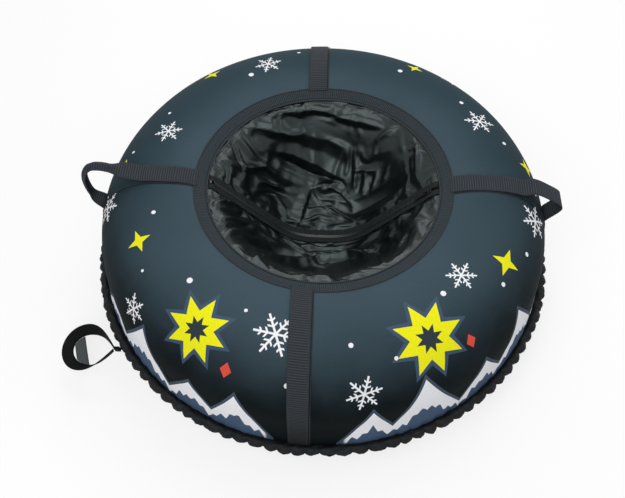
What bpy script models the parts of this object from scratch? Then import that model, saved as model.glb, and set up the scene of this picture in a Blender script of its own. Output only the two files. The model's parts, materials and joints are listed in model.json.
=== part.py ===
"""A snow tube: an inflated ring in a sewn cover, with a zipped seat, webbing handles and a tow loop."""

import math

import bmesh
import bpy
from mathutils import Matrix, Vector

# Section of the inflated cover: a squared circle standing on the ground
ring_radius = 0.320
half_width = 0.150
half_height = 0.150
section_power = 2.2

# Cover cloth, and the gap left between pieces that touch
cover_thickness = 0.0010
base_thickness = 0.0012
joint_gap = 0.0003
turn_steps = 40
panel_rows = 10
wall_rows = 3

# Sliding base and hem
hem_reach = 0.006
hem_radius = ring_radius + half_width + hem_reach
base_curve_reach = 0.116
flat_radius = hem_radius - base_curve_reach
hem_height = 0.0745
base_rows = 6
roll_radius = 0.0115
roll_valley_share = 0.62
roll_uneven_share = 0.16
scallop_count = 104

# Opening and its binding tape
seam_from_crown = 0.0705
opening_seam_radius = ring_radius - seam_from_crown
binding_width = 0.025
binding_inner_radius = opening_seam_radius - binding_width / 2
binding_outer_radius = opening_seam_radius + binding_width / 2
binding_thickness = 0.0014
binding_rows = 3

# Seat cloth: it follows the ring's shoulder, then hangs as a cup
seat_thickness = 0.0010
seat_leave_reach = 0.020
seat_leave_radius = ring_radius - half_width + seat_leave_reach
seat_bottom_height = 0.090
seat_cup_power = 2.5
seat_edge = 0.009
seat_flat_edge = 0.018
seat_blend_edge = 0.054
seat_lift_edge = 0.090
seat_corner = 0.015
seat_rim_blend = 0.012
seat_columns = 46
seat_rows = 12
fold_depth = 0.0075
fold_fade = 0.045
rear_fold_counts = (7.0, 11.0)
front_fold_counts = (5.0, 9.0)

# Zip line, seen from the front: level at the binding, straight down the side, curved at the bottom
zip_top_margin = 0.009
zip_top_radius = binding_inner_radius - zip_top_margin
zip_bend = 0.006
zip_slope_reach = 0.128
zip_low_radius = zip_top_radius - zip_slope_reach
zip_low_height = 0.135
zip_centre_height = 0.096
zip_samples = 600

# Zip tapes and teeth
tape_thickness = 0.0006
tape_lift = 0.0005
tape_inner = 0.0035
tape_outer = 0.0165
tooth_pitch = 0.0064
tooth_length = 0.0026
tooth_height = 0.0024
tooth_overlap = 0.0010
chain_width = 0.0016
stop_length = 0.0040

# Zip slider and its pull
slider_length = 0.018
slider_width = 0.013
slider_play = 0.0003
slider_plate = 0.0010
slider_lip = 0.0015
slider_post_length = 0.005
slider_post_width = 0.003
slider_rest = 0.0135
crown_length = 0.007
crown_width = 0.003
crown_bar = 0.0012
crown_eye_length = 0.0042
crown_eye_height = 0.0026
pull_length = 0.032
pull_width = 0.010
pull_thickness = 0.0014
pull_window = 0.0056

# Webbing straps
strap_width = 0.040
strap_thickness = 0.0020
strap_columns = 2
strap_rise_share = 0.4
tail_top_height = 0.196
# The long straps are sewn on a little to the left of the middle line
front_strap_aside = 0.033
rear_strap_aside = 0.020

# Webbing handles: each loop leaves the cover, turns over outside it and comes back to its side
left_root_from_crown = 0.046
right_root_from_crown = 0.075
left_root_radius = ring_radius + left_root_from_crown
right_root_radius = ring_radius + right_root_from_crown
handle_root_lift = 0.0065
handle_reach = 0.020
handle_tip_radius = ring_radius + half_width + handle_reach
handle_samples = 26
root_length = 0.034
foot_lead = 0.009
square_end = 0.001
left_handle_shares = ((0.36, 0.10), (0.65, 0.19), (0.87, 0.14), (1.0, -0.16), (0.96, -0.58))
right_handle_shares = ((0.10, -0.01), (0.32, 0.05), (0.70, -0.11), (0.93, -0.26), (0.965, -0.43), (0.93, -0.62),
                       (0.82, -0.78))
left_grip_width_share = 0.55
right_grip_width_share = 1.0

# Tow loop, sewn into the hem at a turn from the front strap
tow_turn = math.radians(54.5)
tow_swing = math.radians(-38.0)
tow_droop = math.radians(10.0)
tow_loop_radius = 0.042
tow_point_share = 0.45
tow_point_power = 8
tow_width = 0.024
tow_neck_width = 0.014
tow_thickness = 0.0020
tow_far_lean = math.radians(12.0)
tow_near_lean = math.radians(75.0)
tow_root_start = 0.0009
tow_root_length = 0.012
tow_samples = 32
tow_tail_turns = (math.radians(-38.0), math.radians(78.0))
tow_tail_spread = math.radians(20.0)

# Inner tube and its valve
tube_wall = 0.0022
tube_clearance = 0.0014
tube_sides = 12
valve_turn = math.pi / 2 + math.pi / turn_steps
patch_radius = 0.013
patch_thickness = 0.0025
stem_radius = 0.0042
stem_bore = 0.0024
stem_length = 0.038
valve_hole = 0.0030
core_length = 0.014
core_bore = 0.0009
core_recess = 0.0012
pin_radius = 0.0005
pin_proud = 0.0008
cap_radius = 0.0056
cap_length = 0.0125
cap_roof = 0.0020
round_steps = 20

# One overrun for every cutter
overrun = 0.002


def clear_scene():
    for item in list(bpy.data.objects):
        bpy.data.objects.remove(item, do_unlink=True)


def collection(name):
    made = bpy.data.collections.new(name)
    bpy.context.scene.collection.children.link(made)
    return made


def material(name, colour, roughness, metallic=0.0):
    made = bpy.data.materials.new(name)
    made.use_nodes = True
    shader = made.node_tree.nodes["Principled BSDF"]
    shader.inputs["Base Color"].default_value = (*colour, 1.0)
    shader.inputs["Roughness"].default_value = roughness
    shader.inputs["Metallic"].default_value = metallic
    return made


def lerp(low, high, share):
    return low + (high - low) * share


def eased(share):
    share = min(max(share, 0.0), 1.0)
    return share * share * (3.0 - 2.0 * share)


def section_point(turn, inset=0.0):
    """Radius and height on the cover's section, inset from its outer face."""
    across = math.cos(turn)
    up = math.sin(turn)
    radius = ring_radius + math.copysign(abs(across) ** (2 / section_power), across) * (half_width - inset)
    height = half_height + math.copysign(abs(up) ** (2 / section_power), up) * (half_height - inset)
    return radius, height


def section_turn(radius):
    """Where the section's upper side has this radius."""
    share = (radius - ring_radius) / half_width
    return math.acos(math.copysign(abs(share) ** (section_power / 2), share))


def section_height(radius, inset=0.0):
    share = abs(radius - ring_radius) / (half_width - inset)
    return half_height + (half_height - inset) * (1.0 - share**section_power) ** (1 / section_power)


def wall_radius(height):
    """Outer face of the cover below its widest line."""
    share = (half_height - height) / (half_height - hem_height)
    return lerp(ring_radius + half_width, hem_radius, share)


class Build:
    """Collections and materials that the pieces share while they are made."""

    def __init__(self):
        self.parts = collection("snow_tube")
        self.cutters = collection("snow_tube_cutters")

    def add(self, name, mesh, finish):
        item = bpy.data.objects.new(name, mesh)
        self.parts.objects.link(item)
        mesh.materials.append(finish)
        return item

    def cutter(self, name, mesh):
        item = bpy.data.objects.new(name, mesh)
        self.cutters.objects.link(item)
        item.hide_render = True
        item.display_type = "WIRE"
        return item


def profile_mesh(name, points, closed=False):
    shape = bmesh.new()
    corners = [shape.verts.new((radius, 0.0, height)) for radius, height in points]
    for first, second in zip(corners, corners[1:]):
        shape.edges.new((first, second))
    if closed:
        shape.edges.new((corners[-1], corners[0]))
    mesh = bpy.data.meshes.new(name)
    shape.to_mesh(mesh)
    shape.free()
    return mesh


def turned(build, name, points, finish, thickness=0.0, start=0.0, sweep=2 * math.pi, steps=turn_steps,
           closed=False):
    """A profile turned about Z, with a wall if a thickness is given."""
    item = build.add(name, profile_mesh(name, points, closed), finish)
    screw = item.modifiers.new("Turn", "SCREW")
    screw.angle = sweep
    screw.steps = steps
    screw.render_steps = steps
    screw.use_merge_vertices = sweep == 2 * math.pi
    screw.merge_threshold = 0.00001
    screw.use_smooth_shade = True
    screw.use_normal_calculate = True
    item.rotation_euler.z = start
    if thickness:
        wall(item, thickness, even=True)
    return item


def wall(item, thickness, even=False):
    shell = item.modifiers.new("Wall", "SOLIDIFY")
    shell.thickness = thickness
    shell.offset = 0.0
    shell.use_even_offset = even
    return shell


def sheet(build, name, columns, rows, place, thickness, finish):
    """An open grid whose points are placed by column and row, given a thickness."""
    shape = bmesh.new()
    bmesh.ops.create_grid(shape, x_segments=columns, y_segments=rows, size=1.0)
    for corner in shape.verts:
        column = round((corner.co.x + 1.0) / 2.0 * columns)
        row = round((corner.co.y + 1.0) / 2.0 * rows)
        corner.co = place(column, row)
    mesh = bpy.data.meshes.new(name)
    shape.to_mesh(mesh)
    shape.free()
    mesh.shade_smooth()
    item = build.add(name, mesh, finish)
    wall(item, thickness)
    return item


def boxes_mesh(name, boxes):
    """Separate boxes in one mesh, each from a size and a placing matrix."""
    shape = bmesh.new()
    for size, place in boxes:
        bmesh.ops.create_cube(shape, size=1.0, matrix=place @ Matrix.Diagonal((*size, 1.0)))
    mesh = bpy.data.meshes.new(name)
    shape.to_mesh(mesh)
    shape.free()
    return mesh


def cut(item, tool, operation="DIFFERENCE"):
    boolean = item.modifiers.new(operation.title(), "BOOLEAN")
    boolean.operation = operation
    boolean.solver = "EXACT"
    boolean.object = tool


def panel_points():
    middle = cover_thickness / 2
    points = [section_point(turn, middle) for turn in panel_turns()]
    bottom = hem_height + joint_gap / 2
    for row in range(1, wall_rows + 1):
        height = lerp(half_height, bottom, row / wall_rows)
        points.append((wall_radius(height) - middle, height))
    return points


def make_top_panels(build):
    cloth = material("printed_cover_cloth", (0.020, 0.036, 0.048), 0.75)
    seam = joint_gap / opening_seam_radius
    names = ("rear_right", "rear_left", "front_left", "front_right")
    for quarter, name in enumerate(names):
        start = quarter * math.pi / 2 + seam / 2
        turned(build, f"top_panel_{name}", panel_points(), cloth, cover_thickness, start,
               math.pi / 2 - seam, turn_steps // len(names))


def make_base(build):
    tarpaulin = material("base_tarpaulin", (0.012, 0.013, 0.015), 0.45)
    middle = base_thickness / 2
    top = hem_height - joint_gap / 2
    points = [(0.0, middle)]
    for row in range(base_rows + 1):
        turn = math.pi / 2 * row / base_rows
        radius = lerp(flat_radius, hem_radius - middle, math.sin(turn) ** (2 / section_power))
        height = lerp(top, middle, math.cos(turn) ** (2 / section_power))
        points.append((radius, height))
    turned(build, "sliding_base", points[::-1], tarpaulin, base_thickness)


def roll_size(step):
    """Roll radius at a half scallop: full on the bulges, drawn in at the gathers."""
    turn = math.pi * step / scallop_count
    uneven = math.sin(5 * turn + 0.6) * math.sin(17 * turn) + 0.6 * math.sin(29 * turn + 1.1)
    size = roll_radius * (1.0 - roll_uneven_share * (0.5 + 0.3 * uneven))
    return size * (roll_valley_share if step % 2 else 1.0)


def make_hem(build):
    cloth = material("hem_cloth", (0.008, 0.009, 0.011), 0.6)
    curve = bpy.data.curves.new("hem_gather", "CURVE")
    curve.dimensions = "3D"
    curve.bevel_depth = 1.0
    curve.bevel_resolution = 1
    spline = curve.splines.new("POLY")
    spline.points.add(2 * scallop_count - 1)
    spline.use_cyclic_u = True
    for step, point in enumerate(spline.points):
        size = roll_size(step)
        turn = math.pi * step / scallop_count
        radius = hem_radius + joint_gap + size
        point.co = (radius * math.cos(turn), radius * math.sin(turn), hem_height, 1.0)
        point.radius = size
    item = bpy.data.objects.new("hem_gather", curve)
    build.parts.objects.link(item)
    curve.materials.append(cloth)
    for part in curve.splines:
        part.use_smooth = True


def make_binding(build):
    tape = material("binding_tape", (0.035, 0.040, 0.043), 0.8)
    inset = -(joint_gap + binding_thickness / 2)
    start = section_turn(binding_inner_radius)
    end = section_turn(binding_outer_radius)
    points = [section_point(lerp(start, end, row / binding_rows), inset) for row in range(binding_rows + 1)]
    turned(build, "opening_binding", points, tape, binding_thickness)


def cup_height(radius):
    """Middle of the seat cloth: on the ring's shoulder, then hanging down to the centre."""
    middle = seat_thickness / 2
    if radius >= seat_leave_radius:
        return section_height(radius, middle)
    top = section_height(seat_leave_radius, middle)
    return lerp(seat_bottom_height, top, (radius / seat_leave_radius) ** seat_cup_power)


def zip_straight_slope():
    rise = cup_height(binding_inner_radius) - zip_low_height
    return rise / (zip_top_radius - zip_low_radius)


def zip_height(radius):
    """Middle of the seat cloth along the zip."""
    if radius >= binding_inner_radius:
        return cup_height(radius)
    slope = zip_straight_slope()
    level = cup_height(binding_inner_radius)
    bend = (radius - zip_top_radius) / zip_bend + 1.0
    if bend > 0.0:
        drop = slope * zip_bend / 4
        return level - drop * max(0.0, 2.0 - bend) ** 2
    if radius >= zip_low_radius:
        return zip_low_height + slope * (radius - zip_low_radius)
    rise = zip_low_height - zip_centre_height
    return zip_centre_height + rise * (radius / zip_low_radius) ** (slope * zip_low_radius / rise)


def seat_middle(across, along, counts):
    """Middle of the seat cloth at a point, with its folds."""
    away = abs(along)
    radius = math.hypot(across, along)
    near = math.hypot(across, away * eased((away - seat_flat_edge) / (seat_blend_edge - seat_flat_edge)))
    rim = eased((radius - opening_seam_radius) / seat_rim_blend + 1.0)
    height = lerp(cup_height(near), cup_height(radius), rim)
    lift = max(0.0, zip_height(near) - cup_height(near))
    fade = 1.0 - eased((away - seat_flat_edge) / (seat_lift_edge - seat_flat_edge))
    height += lift * fade
    turn = math.atan2(away, across)
    swing = radius / seat_leave_radius
    fold = math.sin(counts[0] * turn + 2.2 * swing) + 0.55 * math.sin(counts[1] * turn - 3.1 * swing + 0.8)
    free = eased((seat_leave_radius - radius) / fold_fade) * eased((away - seat_flat_edge) / fold_fade)
    return height + fold_depth * fold * free


def seat_stations():
    """Places across the seat, shared by the seat cloth and the zip tapes."""
    first = math.asin(seat_corner / opening_seam_radius)
    turns = [lerp(first, math.pi - first, column / seat_columns) for column in range(seat_columns + 1)]
    return [seat_edge_radius() * math.cos(turn) for turn in turns], turns


def seat_edge_radius():
    """The seat's rim, inside the flats of the turned cover panels."""
    return (opening_seam_radius + joint_gap / 2) * math.cos(math.pi / turn_steps) - joint_gap


def make_seat(build):
    taffeta = material("seat_taffeta", (0.010, 0.011, 0.012), 0.28)
    stations, turns = seat_stations()
    edge_radius = seat_edge_radius()

    def place_for(side, counts):
        def place(column, row):
            across = stations[column]
            along = lerp(seat_edge, edge_radius * math.sin(turns[column]), row / seat_rows)
            return Vector((across, side * along, seat_middle(across, along, counts)))

        return place

    for side, name, counts in ((1, "rear", rear_fold_counts), (-1, "front", front_fold_counts)):
        sheet(build, f"seat_panel_{name}", seat_columns, seat_rows, place_for(side, counts),
              seat_thickness, taffeta)


def zip_frame(across):
    """Point and slope of the zip tapes' middle, which lie on the seat cloth."""
    step = zip_top_radius / zip_samples
    radius = abs(across)
    slope = (zip_height(radius + step) - zip_height(max(radius - step, 0.0))) / (2 * step)
    if radius < step:
        slope = 0.0
    slope = math.copysign(1.0, across) * slope
    lift = seat_thickness / 2 + tape_lift + tape_thickness / 2
    normal = Vector((-slope, 0.0, 1.0)).normalized()
    return Vector((across, 0.0, zip_height(radius))) + lift * normal, math.atan(slope)


def straight_frame(distance):
    """Point and slope on the right-hand straight run, at a distance down from its top."""
    slope = math.atan(zip_straight_slope())
    top_radius = zip_top_radius - zip_bend
    middle, _ = zip_frame((top_radius + zip_low_radius) / 2)
    half_run = (top_radius - zip_low_radius) / 2 / math.cos(slope)
    return middle + (half_run - distance) * Vector((math.cos(slope), 0.0, math.sin(slope))), slope


def along_zip(start, end, pitch):
    """Equal steps along the zip's middle, from one place across to another."""
    spots = []
    before = start
    place, _ = zip_frame(start)
    owed = pitch
    for sample in range(1, zip_samples + 1):
        across = lerp(start, end, sample / zip_samples)
        following, _ = zip_frame(across)
        span = (following - place).length
        if span >= owed:
            spots.append(zip_frame(lerp(before, across, owed / span)))
            owed += pitch
        owed -= span
        before, place = across, following
    return spots


def tilted(point, slope):
    """A frame on the zip: X along it, Y across, Z off the cloth."""
    return Matrix.Translation(point) @ Matrix.Rotation(-slope, 4, "Y")


def tape_end():
    """Where the tapes' corners come up to the binding's inner edge."""
    inner = binding_inner_radius * math.cos(math.pi / turn_steps)
    return math.sqrt(inner**2 - tape_outer**2) - 2 * joint_gap


def zip_end():
    return tape_end() - stop_length


def teeth_top():
    """Where the closed teeth end, below the post of the resting slider."""
    point, slope = straight_frame(slider_rest - slider_length / 2 + slider_post_length)
    return point.x - 2 * joint_gap - tooth_length * math.cos(slope)


def make_zip_tapes(build):
    ribbon_finish = material("zip_tape", (0.014, 0.015, 0.016), 0.85)
    end = tape_end()
    stations = [end] + [across for across in seat_stations()[0] if abs(across) < end] + [-end]
    for side, name in ((1, "rear"), (-1, "front")):

        def place(column, row, side=side):
            point, _ = zip_frame(stations[column])
            return point + Vector((0.0, side * (tape_inner, tape_outer)[row], 0.0))

        sheet(build, f"zip_tape_{name}", len(stations) - 1, 1, place, tape_thickness, ribbon_finish)


def make_zip_teeth(build):
    """Each half of the chain is a moulded rail on its tape's edge, whose teeth mesh with the other's."""
    moulding = material("zip_teeth", (0.018, 0.019, 0.020), 0.35)
    start = -zip_end() + stop_length
    spots = along_zip(start, teeth_top(), tooth_pitch / 2)
    outer = tape_inner - joint_gap
    widths = (-tooth_overlap, outer - chain_width, outer)
    for side, name in ((1, "rear"), (-1, "front")):
        own = spots[0::2] if side > 0 else spots[1::2]
        shape = bmesh.new()
        rows = []
        for point, slope in own:
            along = Vector((math.cos(slope), 0.0, math.sin(slope))) * tooth_length / 2
            for end in (point - along, point + along):
                rows.append([shape.verts.new(end + Vector((0.0, side * width, 0.0))) for width in widths])
        for index, (before, after) in enumerate(zip(rows, rows[1:])):
            shape.faces.new((before[1], after[1], after[2], before[2]))
            if index % 2 == 0:
                shape.faces.new((before[0], after[0], after[1], before[1]))
        loose = [corner for corner in shape.verts if not corner.link_faces]
        bmesh.ops.delete(shape, geom=loose, context="VERTS")
        mesh = bpy.data.meshes.new(f"zip_teeth_{name}")
        shape.to_mesh(mesh)
        shape.free()
        wall(build.add(f"zip_teeth_{name}", mesh, moulding), tooth_height)


def make_zip_stops(build):
    metal = material("zip_stops", (0.05, 0.05, 0.052), 0.4, 0.8)
    inner = tape_inner - joint_gap
    side_width = inner - tooth_overlap
    left, left_slope = zip_frame(-zip_end())
    right, right_slope = straight_frame(slider_rest - slider_length / 2 - joint_gap - stop_length / 2)
    size = (stop_length, 2 * inner, tooth_height)
    build.add("zip_bottom_stop", boxes_mesh("zip_bottom_stop", [(size, tilted(left, left_slope))]), metal)
    for side, name in ((1, "rear"), (-1, "front")):
        middle = Vector((0.0, side * (inner - side_width / 2), 0.0))
        size = (stop_length, side_width, tooth_height)
        mesh = boxes_mesh(f"zip_top_stop_{name}", [(size, tilted(right + middle, right_slope))])
        build.add(f"zip_top_stop_{name}", mesh, metal)


def channel_half():
    return tooth_height / 2 + slider_play


def crown_axis_height():
    """Height of the pull's cross bar over the zip's middle."""
    return channel_half() + slider_plate + crown_eye_height / 2


def box_tool(build, name, low, high, frame):
    """A cutter box between two corners of a piece's own frame."""
    size = [top - bottom for bottom, top in zip(low, high)]
    middle = Vector([(top + bottom) / 2 for bottom, top in zip(low, high)])
    return build.cutter(name, boxes_mesh(name, [(size, frame @ Matrix.Translation(middle))]))


def make_slider(build):
    metal = material("zip_slider", (0.06, 0.06, 0.062), 0.3, 0.9)
    point, slope = straight_frame(slider_rest)
    frame = tilted(point, slope)
    half = slider_length / 2
    wide = slider_width / 2
    channel = channel_half()
    outer = channel + slider_plate
    body = boxes_mesh("zip_slider", [((slider_length, slider_width, 2 * outer), Matrix())])
    item = build.add("zip_slider", body, metal)
    item.matrix_world = frame
    lip = wide - slider_lip
    post = half - slider_post_length
    slot = tape_thickness / 2 + slider_play
    crown_half = crown_length / 2
    crown_top = outer + crown_eye_height + crown_bar
    tools = [
        ("slider_rear_channel", (-half - overrun, -lip, -channel), (post, lip, channel)),
        ("slider_left_throat", (post - overrun, slider_post_width / 2, -channel), (half + overrun, lip, channel)),
        ("slider_right_throat", (post - overrun, -lip, -channel), (half + overrun, -slider_post_width / 2, channel)),
        ("slider_left_slot", (-half - overrun, lip - overrun / 4, -slot), (half + overrun, wide + overrun, slot)),
        ("slider_right_slot", (-half - overrun, -wide - overrun, -slot), (half + overrun, overrun / 4 - lip, slot)),
    ]
    for name, low, high in tools:
        cut(item, box_tool(build, name, low, high, frame))
    crown = box_tool(build, "slider_crown", (-crown_half, -crown_width / 2, outer - slider_plate / 2),
                     (crown_half, crown_width / 2, crown_top), frame)
    cut(item, crown, "UNION")
    eye = box_tool(build, "slider_eye", (-crown_eye_length / 2, -crown_width, outer),
                   (crown_eye_length / 2, crown_width, outer + crown_eye_height), frame)
    cut(item, eye)


def outline_spline(curve, points):
    spline = curve.splines.new("POLY")
    spline.points.add(len(points) - 1)
    for target, (across, up) in zip(spline.points, points):
        target.co = (across, up, 0.0, 1.0)
    spline.use_cyclic_u = True


def make_pull(build):
    metal = material("zip_pull", (0.06, 0.06, 0.062), 0.32, 0.9)
    point, slope = straight_frame(slider_rest)
    frame = tilted(point, slope) @ Matrix.Translation((0.0, 0.0, crown_axis_height()))
    curve = bpy.data.curves.new("zip_pull", "CURVE")
    curve.dimensions = "2D"
    curve.fill_mode = "BOTH"
    curve.extrude = pull_thickness / 2
    top = pull_thickness / 2
    half = pull_width / 2
    end = top - pull_length
    nose = pull_width / 4
    outline_spline(curve, [(top, half - nose), (top, nose - half), (top - nose, -half), (end + half, -half),
                           (end, -nose), (end, nose), (end + half, half), (top - nose, half)])
    inner = crown_width / 2 + 2 * joint_gap
    outline_spline(curve, [(-top, -inner), (-top, inner), (-pull_window, inner), (-pull_window, -inner)])
    source = bpy.data.objects.new("zip_pull_outline", curve)
    build.parts.objects.link(source)
    bpy.context.view_layer.update()
    graph = bpy.context.evaluated_depsgraph_get()
    mesh = bpy.data.meshes.new_from_object(source.evaluated_get(graph))
    bpy.data.objects.remove(source, do_unlink=True)
    shape = bmesh.new()
    shape.from_mesh(mesh)
    bmesh.ops.remove_doubles(shape, verts=shape.verts, dist=joint_gap / 10)
    shape.to_mesh(mesh)
    shape.free()
    mesh.name = "zip_pull"
    item = build.add("zip_pull", mesh, metal)
    item.matrix_world = frame


def cover_spot(radius, height, aside, turn):
    """A point at a radius and height, set aside from the meridian at a turn round the tube."""
    out = math.sqrt(radius**2 - aside**2)
    return Vector((out * math.cos(turn) - aside * math.sin(turn), out * math.sin(turn) + aside * math.cos(turn),
                   height))


def panel_turns():
    start = section_turn(opening_seam_radius + joint_gap / 2)
    return [start * (1 - row / panel_rows) for row in range(panel_rows + 1)]


def strap_turns(first, last):
    """Section turns for webbing on the cover, bending where the cover bends."""
    margin = (first - last) / (2 * turn_steps)
    return [first] + [turn for turn in panel_turns() if last + margin < turn < first - margin] + [last]


def strap_line(first, lift):
    """Radius and height of webbing from a section turn down to the hem."""
    points = [section_point(turn, -lift) for turn in strap_turns(first, 0.0)]
    for row in range(1, wall_rows + 1):
        height = lerp(half_height, strap_low_height(), row / wall_rows)
        points.append((wall_radius(height) + lift, height))
    return points


def section_turn_at_height(height):
    return math.asin(((height - half_height) / half_height) ** (section_power / 2))


def make_strap(build, name, line, turn, finish, aside=0.0):
    width = strap_width

    def place(column, row):
        radius, height = line[row]
        return cover_spot(radius, height, aside + lerp(-width / 2, width / 2, column / strap_columns), turn)

    return sheet(build, name, strap_columns, len(line) - 1, place, strap_thickness, finish)


def strap_low_height():
    """Where the straps run in behind the hem roll."""
    reach = strap_thickness + joint_gap
    return hem_height + math.sqrt(roll_radius**2 - (roll_radius - reach) ** 2) + 4 * joint_gap


def make_straps(build, webbing):
    lift = joint_gap + strap_thickness / 2
    start = section_turn(binding_outer_radius + 2 * joint_gap)
    full = strap_line(start, lift)
    tail = strap_line(section_turn_at_height(tail_top_height), lift)
    make_strap(build, "strap_front", full, -math.pi / 2, webbing, -front_strap_aside)
    make_strap(build, "strap_rear", full, math.pi / 2, webbing, rear_strap_aside)
    for side, turn, root in (("left", math.pi, left_root_radius), ("right", 0.0, right_root_radius)):
        make_strap(build, f"strap_{side}", handle_strap_line(start, lift, root), turn, webbing)
        make_strap(build, f"strap_tail_{side}", tail, turn, webbing)


def handle_strap_line(start, lift, root):
    """From the binding to the handle's root, rising off the cover at its outer end."""
    last = section_turn(root)
    points = []
    for turn in strap_turns(start, last):
        risen = eased(1.0 - (turn - last) / (start - last) / strap_rise_share)
        points.append(section_point(turn, -lerp(lift, handle_root_lift, risen)))
    return points


def handle_path(shares, lift, root_radius):
    """Smooth line of the loop from its upper root to its lower one, as radius and height."""
    root = Vector(section_point(section_turn(root_radius), -handle_root_lift))
    foot = Vector(section_point(section_turn_at_height(tail_top_height), -lift))
    lead = Vector(section_point(section_turn_at_height(tail_top_height + foot_lead), -lift - joint_gap))
    reach = handle_tip_radius - root_radius
    points = [root]
    points += [Vector((root.x + across * reach, root.y + up * reach)) for across, up in shares]
    points += [lead, foot]
    return smoothed(points, handle_samples)


def smoothed(points, count):
    """Equal steps along a smooth curve through the points."""
    ends = [points[0] * 2 - points[1]] + points + [points[-1] * 2 - points[-2]]
    fine = []
    for first, start, end, last in zip(ends, ends[1:], ends[2:], ends[3:]):
        for step in range(count):
            share = step / count
            fine.append(start + (end - first) * share / 2
                        + (first * 2 - start * 5 + end * 4 - last) * share**2 / 2
                        + (start * 3 - first - end * 3 + last) * share**3 / 2)
    fine.append(points[-1])
    lengths = [0.0]
    for start, end in zip(fine, fine[1:]):
        lengths.append(lengths[-1] + (end - start).length)
    found = []
    index = 0
    for step in range(count + 1):
        wanted = lengths[-1] * step / count
        while index < len(fine) - 2 and lengths[index + 1] < wanted:
            index += 1
        span = lengths[index + 1] - lengths[index]
        found.append(fine[index].lerp(fine[index + 1], (wanted - lengths[index]) / span))
    return found


def set_origin(item, point):
    """Moves an object's origin to a point and leaves its shape where it is."""
    item.data.transform(Matrix.Translation(-point))
    item.matrix_world = Matrix.Translation(point)


def ribbon(build, name, points, turn, finish):
    """Webbing in a meridian plane, from a list of radius, height and width."""

    def place(column, row):
        radius, height, width = points[row]
        aside = (column - 1) * width / 2
        return Vector((radius * math.cos(turn) - aside * math.sin(turn),
                       radius * math.sin(turn) + aside * math.cos(turn), height))

    return sheet(build, name, 2, len(points) - 1, place, strap_thickness, finish)


def make_handle(build, side, turn, root, shares, grip_share, webbing):
    lift = joint_gap + strap_thickness / 2
    path = handle_path(shares, lift, root)
    lengths = [0.0]
    for start, end in zip(path, path[1:]):
        lengths.append(lengths[-1] + (end - start).length)
    total = lengths[-1]

    def spot(distance):
        index = 0
        while index < len(path) - 2 and lengths[index + 1] < distance:
            index += 1
        share = (distance - lengths[index]) / (lengths[index + 1] - lengths[index])
        place = path[index].lerp(path[index + 1], share)
        folded = eased((distance - root_length) / root_length)
        spread = eased((total - distance) / (2 * root_length))
        width = strap_width * lerp(1.0, grip_share, min(folded, 1.0))
        foot_width = strap_width * lerp(1.0, grip_share, spread)
        return place.x, place.y, max(width, foot_width) if distance > total / 2 else width

    def stretch(first, last, count):
        inner = [lerp(first + square_end, last - square_end, step / count) for step in range(count + 1)]
        return [spot(distance) for distance in (first, *inner, last)]

    gap = joint_gap
    upper = stretch(gap, root_length - gap / 2, 4)
    lower = stretch(total - root_length + gap / 2, total - gap, 4)
    grip = stretch(root_length + gap / 2, total - root_length - gap / 2, handle_samples - 6)
    ribbon(build, f"handle_{side}_upper_root", upper, turn, webbing)
    ribbon(build, f"handle_{side}_lower_root", lower, turn, webbing)
    item = ribbon(build, f"handle_{side}_grip", grip, turn, webbing)
    set_origin(item, Matrix.Rotation(turn, 4, "Z") @ Vector((path[0].x, 0.0, path[0].y)))


def make_handles(build, webbing):
    make_handle(build, "left", math.pi, left_root_radius, left_handle_shares, left_grip_width_share, webbing)
    make_handle(build, "right", 0.0, right_root_radius, right_handle_shares, right_grip_width_share, webbing)


def tow_step():
    """The bulge of the hem where the tow loop is sewn in, counted in half scallops."""
    return 2 * round((1.5 * math.pi - tow_turn) / (2 * math.pi) * scallop_count)


def tow_axis_radius():
    return hem_radius + joint_gap + 2 * roll_size(tow_step())


def tow_frame():
    """X out from the hem along the loop, Z square to the loop."""
    middle = Matrix.Rotation(math.pi * tow_step() / scallop_count, 4, "Z") @ Matrix.Translation(
        (tow_axis_radius(), 0.0, hem_height))
    return middle @ Matrix.Rotation(tow_droop, 4, "Y") @ Matrix.Rotation(tow_swing, 4, "Z")


def tow_centre():
    return Vector((tow_root_length + joint_gap + tow_loop_radius * (1 + tow_point_share), 0.0, 0.0))


def tow_spot(turn, edge):
    """A point of the loop at a turn from its far side, at an edge from -1 to 1 across the webbing."""
    share = abs(turn) / math.pi
    width = lerp(tow_width, tow_neck_width, eased(2 * share - 1))
    lean = lerp(tow_far_lean, tow_near_lean, eased(share))
    out = Vector((math.cos(turn), math.sin(turn), 0.0))
    reach = tow_loop_radius * (1 + tow_point_share * share**tow_point_power)
    across = out * math.cos(lean) + Vector((0.0, 0.0, math.sin(lean)))
    return tow_centre() + out * reach + across * (edge * width / 2)


def make_tow_loop(build, webbing):
    frame = tow_frame()
    mouth = tow_thickness / tow_loop_radius
    ends = math.pi - mouth

    def place(column, row):
        return tow_spot(lerp(-ends, ends, row / tow_samples), column - 1.0)

    loop = sheet(build, "tow_loop", 2, tow_samples, place, tow_thickness, webbing)
    loop.matrix_world = frame
    backing = material("tow_loop_tail", (0.030, 0.036, 0.036), 0.8)
    edge = -1.0 - 6 * joint_gap / tow_width

    def tail(column, row):
        aside = tow_tail_spread * (column - 1)
        first = tow_spot(tow_tail_turns[0] - aside, edge)
        return first.lerp(tow_spot(tow_tail_turns[1] + aside, edge), row / 2)

    strip = sheet(build, "tow_loop_tail", 2, 2, tail, tow_thickness, backing)
    strip.matrix_world = frame
    size = (tow_root_length - tow_root_start, 3 * tow_thickness, tow_neck_width)
    middle = Matrix.Translation(((tow_root_start + tow_root_length) / 2, 0.0, 0.0))
    root = build.add("tow_loop_root", boxes_mesh("tow_loop_root", [(size, middle)]), webbing)
    root.matrix_world = frame


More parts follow.
